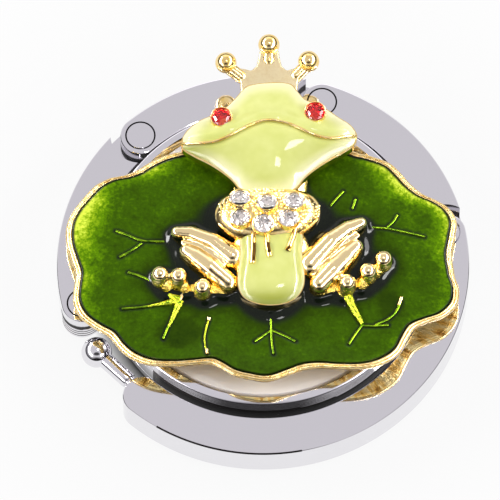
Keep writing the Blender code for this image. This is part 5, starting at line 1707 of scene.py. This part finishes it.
# %% [markdown]
# The gold under the enamel shows as a fine line all round the head, so a gold plate a little
# wider than the enamel carries it. The mouth wire follows the skin, and each eye is a red
# stone in a rounded gold bezel on its mound.

# %% Plate, mouth wire and eyes
PLATE_FLOOR_Z, PLATE_EDGE_Z = 9.9, 11.05
WIRE_LEFT, WIRE_RIGHT, WIRE_STEPS = -9.0, 10.35, 120


def make_head_plate():
    gild(cushion("head_plate", closed_curve(HEAD_LOOP, 260), HEAD_CENTRE, PLATE_EDGE_Z,
                 lambda share: 0.12 * (1 - share ** 8), PLATE_FLOOR_Z, 6), GOLD)
    across = [WIRE_LEFT + (WIRE_RIGHT - WIRE_LEFT) * k / WIRE_STEPS for k in range(WIRE_STEPS + 1)]
    wire = [(x, at_x(MOUTH, x), head_z(x, at_x(MOUTH, x), 1)) for x in across]
    gild(ridges("mouth_wire", [wire], 0.17, 1.0, GOLD))


def make_eyes():
    seats = [(x, y, EYE_Z) for x, y in EYES]
    for name, place in zip(("eye_stone_left", "eye_stone_right"), seats):
        stone = copies(name, stone_shape("eye_shape"), [place], RED_STONE, 0.0, FACETED)
        seat(stone, "disc", "red_stone", name)
    foils = copies("eye_foils", foil_shape("eye_foil_shape"), sunk(seats), RED_FOIL, 0.3, FACETED)
    seat(foils, "disc", "red_stone")
    gild(copies("eye_bezels", bezel_shape("eye_bezel_shape", 0.14, 0.24), seats, GOLD))


make_head_plate()
make_eyes()

# %% [markdown]
# ## The crown
# The crown is a satin plate with three prongs that end in polished balls. Its plan is a flat
# plate with two dips. The prongs are short bars with a melted skin, and the balls are copies
# on three seats.

# %% Crown
CROWN_PLAN = [
    (-2.5, 17.8), (-2.55, 19.4), (-2.75, 20.4), (-2.9, 21.3), (-2.1, 21.15), (-1.3, 20.95),
    (-0.75, 21.5), (-0.5, 22.6), (-0.4, 23.4), (0.65, 23.6), (1.75, 23.4), (1.85, 22.6),
    (2.1, 21.5), (2.65, 20.95), (3.4, 21.2), (4.2, 21.5), (4.1, 20.4), (3.9, 19.4), (3.8, 17.8)]
CROWN_BALLS = [(-4.15, 21.8, 10.95), (0.66, 24.0, 10.95), (5.1, 21.95, 10.95)]
CROWN_LOW, CROWN_HIGH, CROWN_BALL_R = 9.85, 10.85, 1.2
CROWN_PRONGS = [
    ((-2.4, 20.3), (-3.9, 21.4), 0.74, 0.74), ((0.66, 22.3), (0.66, 23.6), 0.85, 0.72),
    ((3.65, 20.4), (4.85, 21.6), 0.74, 0.74)]


def make_crown():
    plate = round_edges(raised("crown_plate", CROWN_PLAN, CROWN_LOW, CROWN_HIGH), 0.22, 4)
    gild(tidy_normals(plate, math.radians(40)), SATIN_GOLD)
    bm = bmesh.new()
    for root, tip, r0, r1 in CROWN_PRONGS:
        add_bar(bm, (*root, 10.3), r0, (*tip, 10.6), r1)
    gild(melt("crown_prongs", bm, 0.09, 2), CAST_GOLD)
    turns = [math.pi * k / 24 for k in range(25)]
    bow = [CROWN_BALL_R * Vector((math.sin(a), math.cos(a))) for a in turns]
    gild(copies("crown_balls", turned("ball_shape", bow, 48), CROWN_BALLS, GOLD))


make_crown()

# %% [markdown]
# ## Studio
# The photograph has a pure white ground and large soft lights. The floor is a pale disc that
# the camera and the polished metal see as white, and it still takes a faint shadow. The
# world is a soft grey-lilac dome, which is what the flat chrome mirrors. It has a dark end in
# front, a dim oval window over it, a brighter strip behind, and two short bright strips at the
# sides that only mirrored rays meet. Two long lamps from the sides and a small one from above
# give the glints on gold and enamel.

# %% Floor, world and lamps
FLOOR_R, FLOOR_SINK, FLOOR_REACH = 600.0, 0.05, 300.0
# Tones of the floor's glow by distance; the dark tones under the disc are a painted shadow.
FLOOR_TONES_AND_SHADOW = [(0.0, 0.02), (0.0607, 0.02), (0.065, 0.95), (0.2, 1.0), (0.35, 0.95), (1.0, 0.12)]
NEAR_FLOOR, FLOOR_GLOW = 0.2, 0.96
WINDOW_CENTRE, WINDOW_HALF_X, WINDOW_HALF_Y = (0.0, -0.55, 0.0), 0.40, 0.19
STRIP_X, STRIP_Z, STRIP_HALF, STRIP_GLOW = 0.45, 0.53, 0.085, 14.0
DOME_COLOURS = [
    (0.0, (0.06, 0.06, 0.07)), (0.16, (0.10, 0.10, 0.11)), (0.34, (0.62, 0.60, 0.62)),
    (0.60, (0.82, 0.80, 0.82)), (0.85, (0.72, 0.70, 0.73)), (1.0, (0.70, 0.68, 0.72))]


def floor_material():
    """White where it is seen or mirrored, with a painted shadow under the disc, and fading far away.
    """
    material = bpy.data.materials.new("studio_white")
    material.use_nodes = True
    tree = material.node_tree
    tree.nodes.clear()
    path = add_node(tree, "ShaderNodeLightPath").outputs
    seen = path["Is Camera Ray"]
    reach = vector_length(tree, add_node(tree, "ShaderNodeTexCoord").outputs["Object"])
    share = math_node(tree, "MULTIPLY", reach, 1 / (FLOOR_REACH * MM))
    near = math_node(tree, "MINIMUM", share, NEAR_FLOOR)
    unseen = math_node(tree, "SUBTRACT", 1.0, seen)
    place = math_node(tree, "ADD", math_node(tree, "MULTIPLY", seen, near),
                      math_node(tree, "MULTIPLY", unseen, share))
    tones = colour_ramp(tree, place, [(stop, (tone, tone, tone)) for stop, tone in FLOOR_TONES_AND_SHADOW])
    white = add_node(tree, "ShaderNodeEmission", {"Color": tones})
    soft = add_node(tree, "ShaderNodeBsdfDiffuse", {"Color": (0.86, 0.86, 0.86, 1)})
    either = math_node(tree, "MAXIMUM", seen, path["Is Glossy Ray"])
    mix = add_node(tree, "ShaderNodeMixShader", {
        0: math_node(tree, "MULTIPLY", either, FLOOR_GLOW),
        1: soft.outputs[0], 2: white.outputs[0]})
    add_node(tree, "ShaderNodeOutputMaterial", {"Surface": mix.outputs[0]})
    return material


def make_floor():
    ring = circle(FLOOR_R, 0.0, 96)
    faces = [(i, (i + 1) % len(ring), len(ring)) for i in range(len(ring))]
    floor = mesh_object("studio_floor", [*ring, (0, 0, 0)], faces)
    floor.location.z = -FLOOR_SINK * MM
    paint(floor, floor_material())


def clipped(tree, value, gain):
    """A value times its gain, kept between zero and one."""
    value = math_node(tree, "MULTIPLY", value, gain)
    return math_node(tree, "MINIMUM", math_node(tree, "MAXIMUM", value, 0.0), 1.0)


def side_strips(tree, axes, path):
    """Bright for mirrored rays that leave sideways, between two heights."""
    out = math_node(tree, "SUBTRACT", math_node(tree, "ABSOLUTE", axes["X"]), STRIP_X)
    off = math_node(tree, "ABSOLUTE", math_node(tree, "SUBTRACT", axes["Z"], STRIP_Z))
    within = math_node(tree, "SUBTRACT", STRIP_HALF, off)
    strips = math_node(tree, "MULTIPLY", clipped(tree, out, 8.0), clipped(tree, within, 40.0))
    return math_node(tree, "MULTIPLY", strips, path["Is Glossy Ray"])


def make_world():
    world = bpy.data.worlds.new("studio_dome")
    bpy.context.scene.world = world
    world.use_nodes = True
    tree = world.node_tree
    tree.nodes.clear()
    coords, axes = place_axes(tree, "Generated")
    path = add_node(tree, "ShaderNodeLightPath").outputs
    front = map_range(tree, axes["Y"], (-0.94, -0.80), (0.04, 1.0))
    behind = map_range(tree, axes["Y"], (0.70, 0.80), (1.0, 2.0))
    away = add_node(tree, "ShaderNodeVectorMath", {0: coords, 1: WINDOW_CENTRE},
                    operation="SUBTRACT")
    scaled = add_node(tree, "ShaderNodeVectorMath", {
        0: away.outputs[0], 1: (1 / WINDOW_HALF_X, 1 / WINDOW_HALF_Y, 0.0)}, operation="MULTIPLY")
    window = map_range(tree, vector_length(tree, scaled.outputs[0]), (0.75, 1.15), (0.10, 1.0))
    level = math_node(tree, "MULTIPLY", front, window)
    level = math_node(tree, "MULTIPLY_ADD", side_strips(tree, axes, path), STRIP_GLOW, level)
    dome = add_node(tree, "ShaderNodeBackground", {
        "Strength": math_node(tree, "MULTIPLY", level, behind),
        "Color": colour_ramp(tree, axes["Z"], DOME_COLOURS)})
    ground = add_node(tree, "ShaderNodeBackground", {"Color": (1, 1, 1, 1)})
    mix = add_node(tree, "ShaderNodeMixShader", {
        0: path["Is Camera Ray"], 1: dome.outputs[0], 2: ground.outputs[0]})
    add_node(tree, "ShaderNodeOutputWorld", {"Surface": mix.outputs[0]})


LAMP_TARGET = Vector((0, 0, 6)) * MM
LAMPS = [("left_softbox", (-0.50, 0.09, 0.31), (0.42, 0.06), 2.0),
         ("right_softbox", (0.46, 0.0, 0.38), (0.42, 0.06), 1.8),
         ("top_window", (0.10, -0.013, 0.70), (0.09, 0.09), 0.45)]


def add_lamp(name, place, size, power):
    data = bpy.data.lights.new(name, "AREA")
    data.shape = "RECTANGLE"
    data.size, data.size_y = size
    data.energy = power
    lamp = new_object(name, data)
    lamp.location = place
    aim = LAMP_TARGET - Vector(place)
    lamp.rotation_euler = aim.to_track_quat("-Z", "Y").to_euler()


make_floor()
make_world()
for lamp in LAMPS:
    add_lamp(*lamp)
print("lamps:", [lamp[0] for lamp in LAMPS])

# %% [markdown]
# ## End

# %% End
print("scene built")
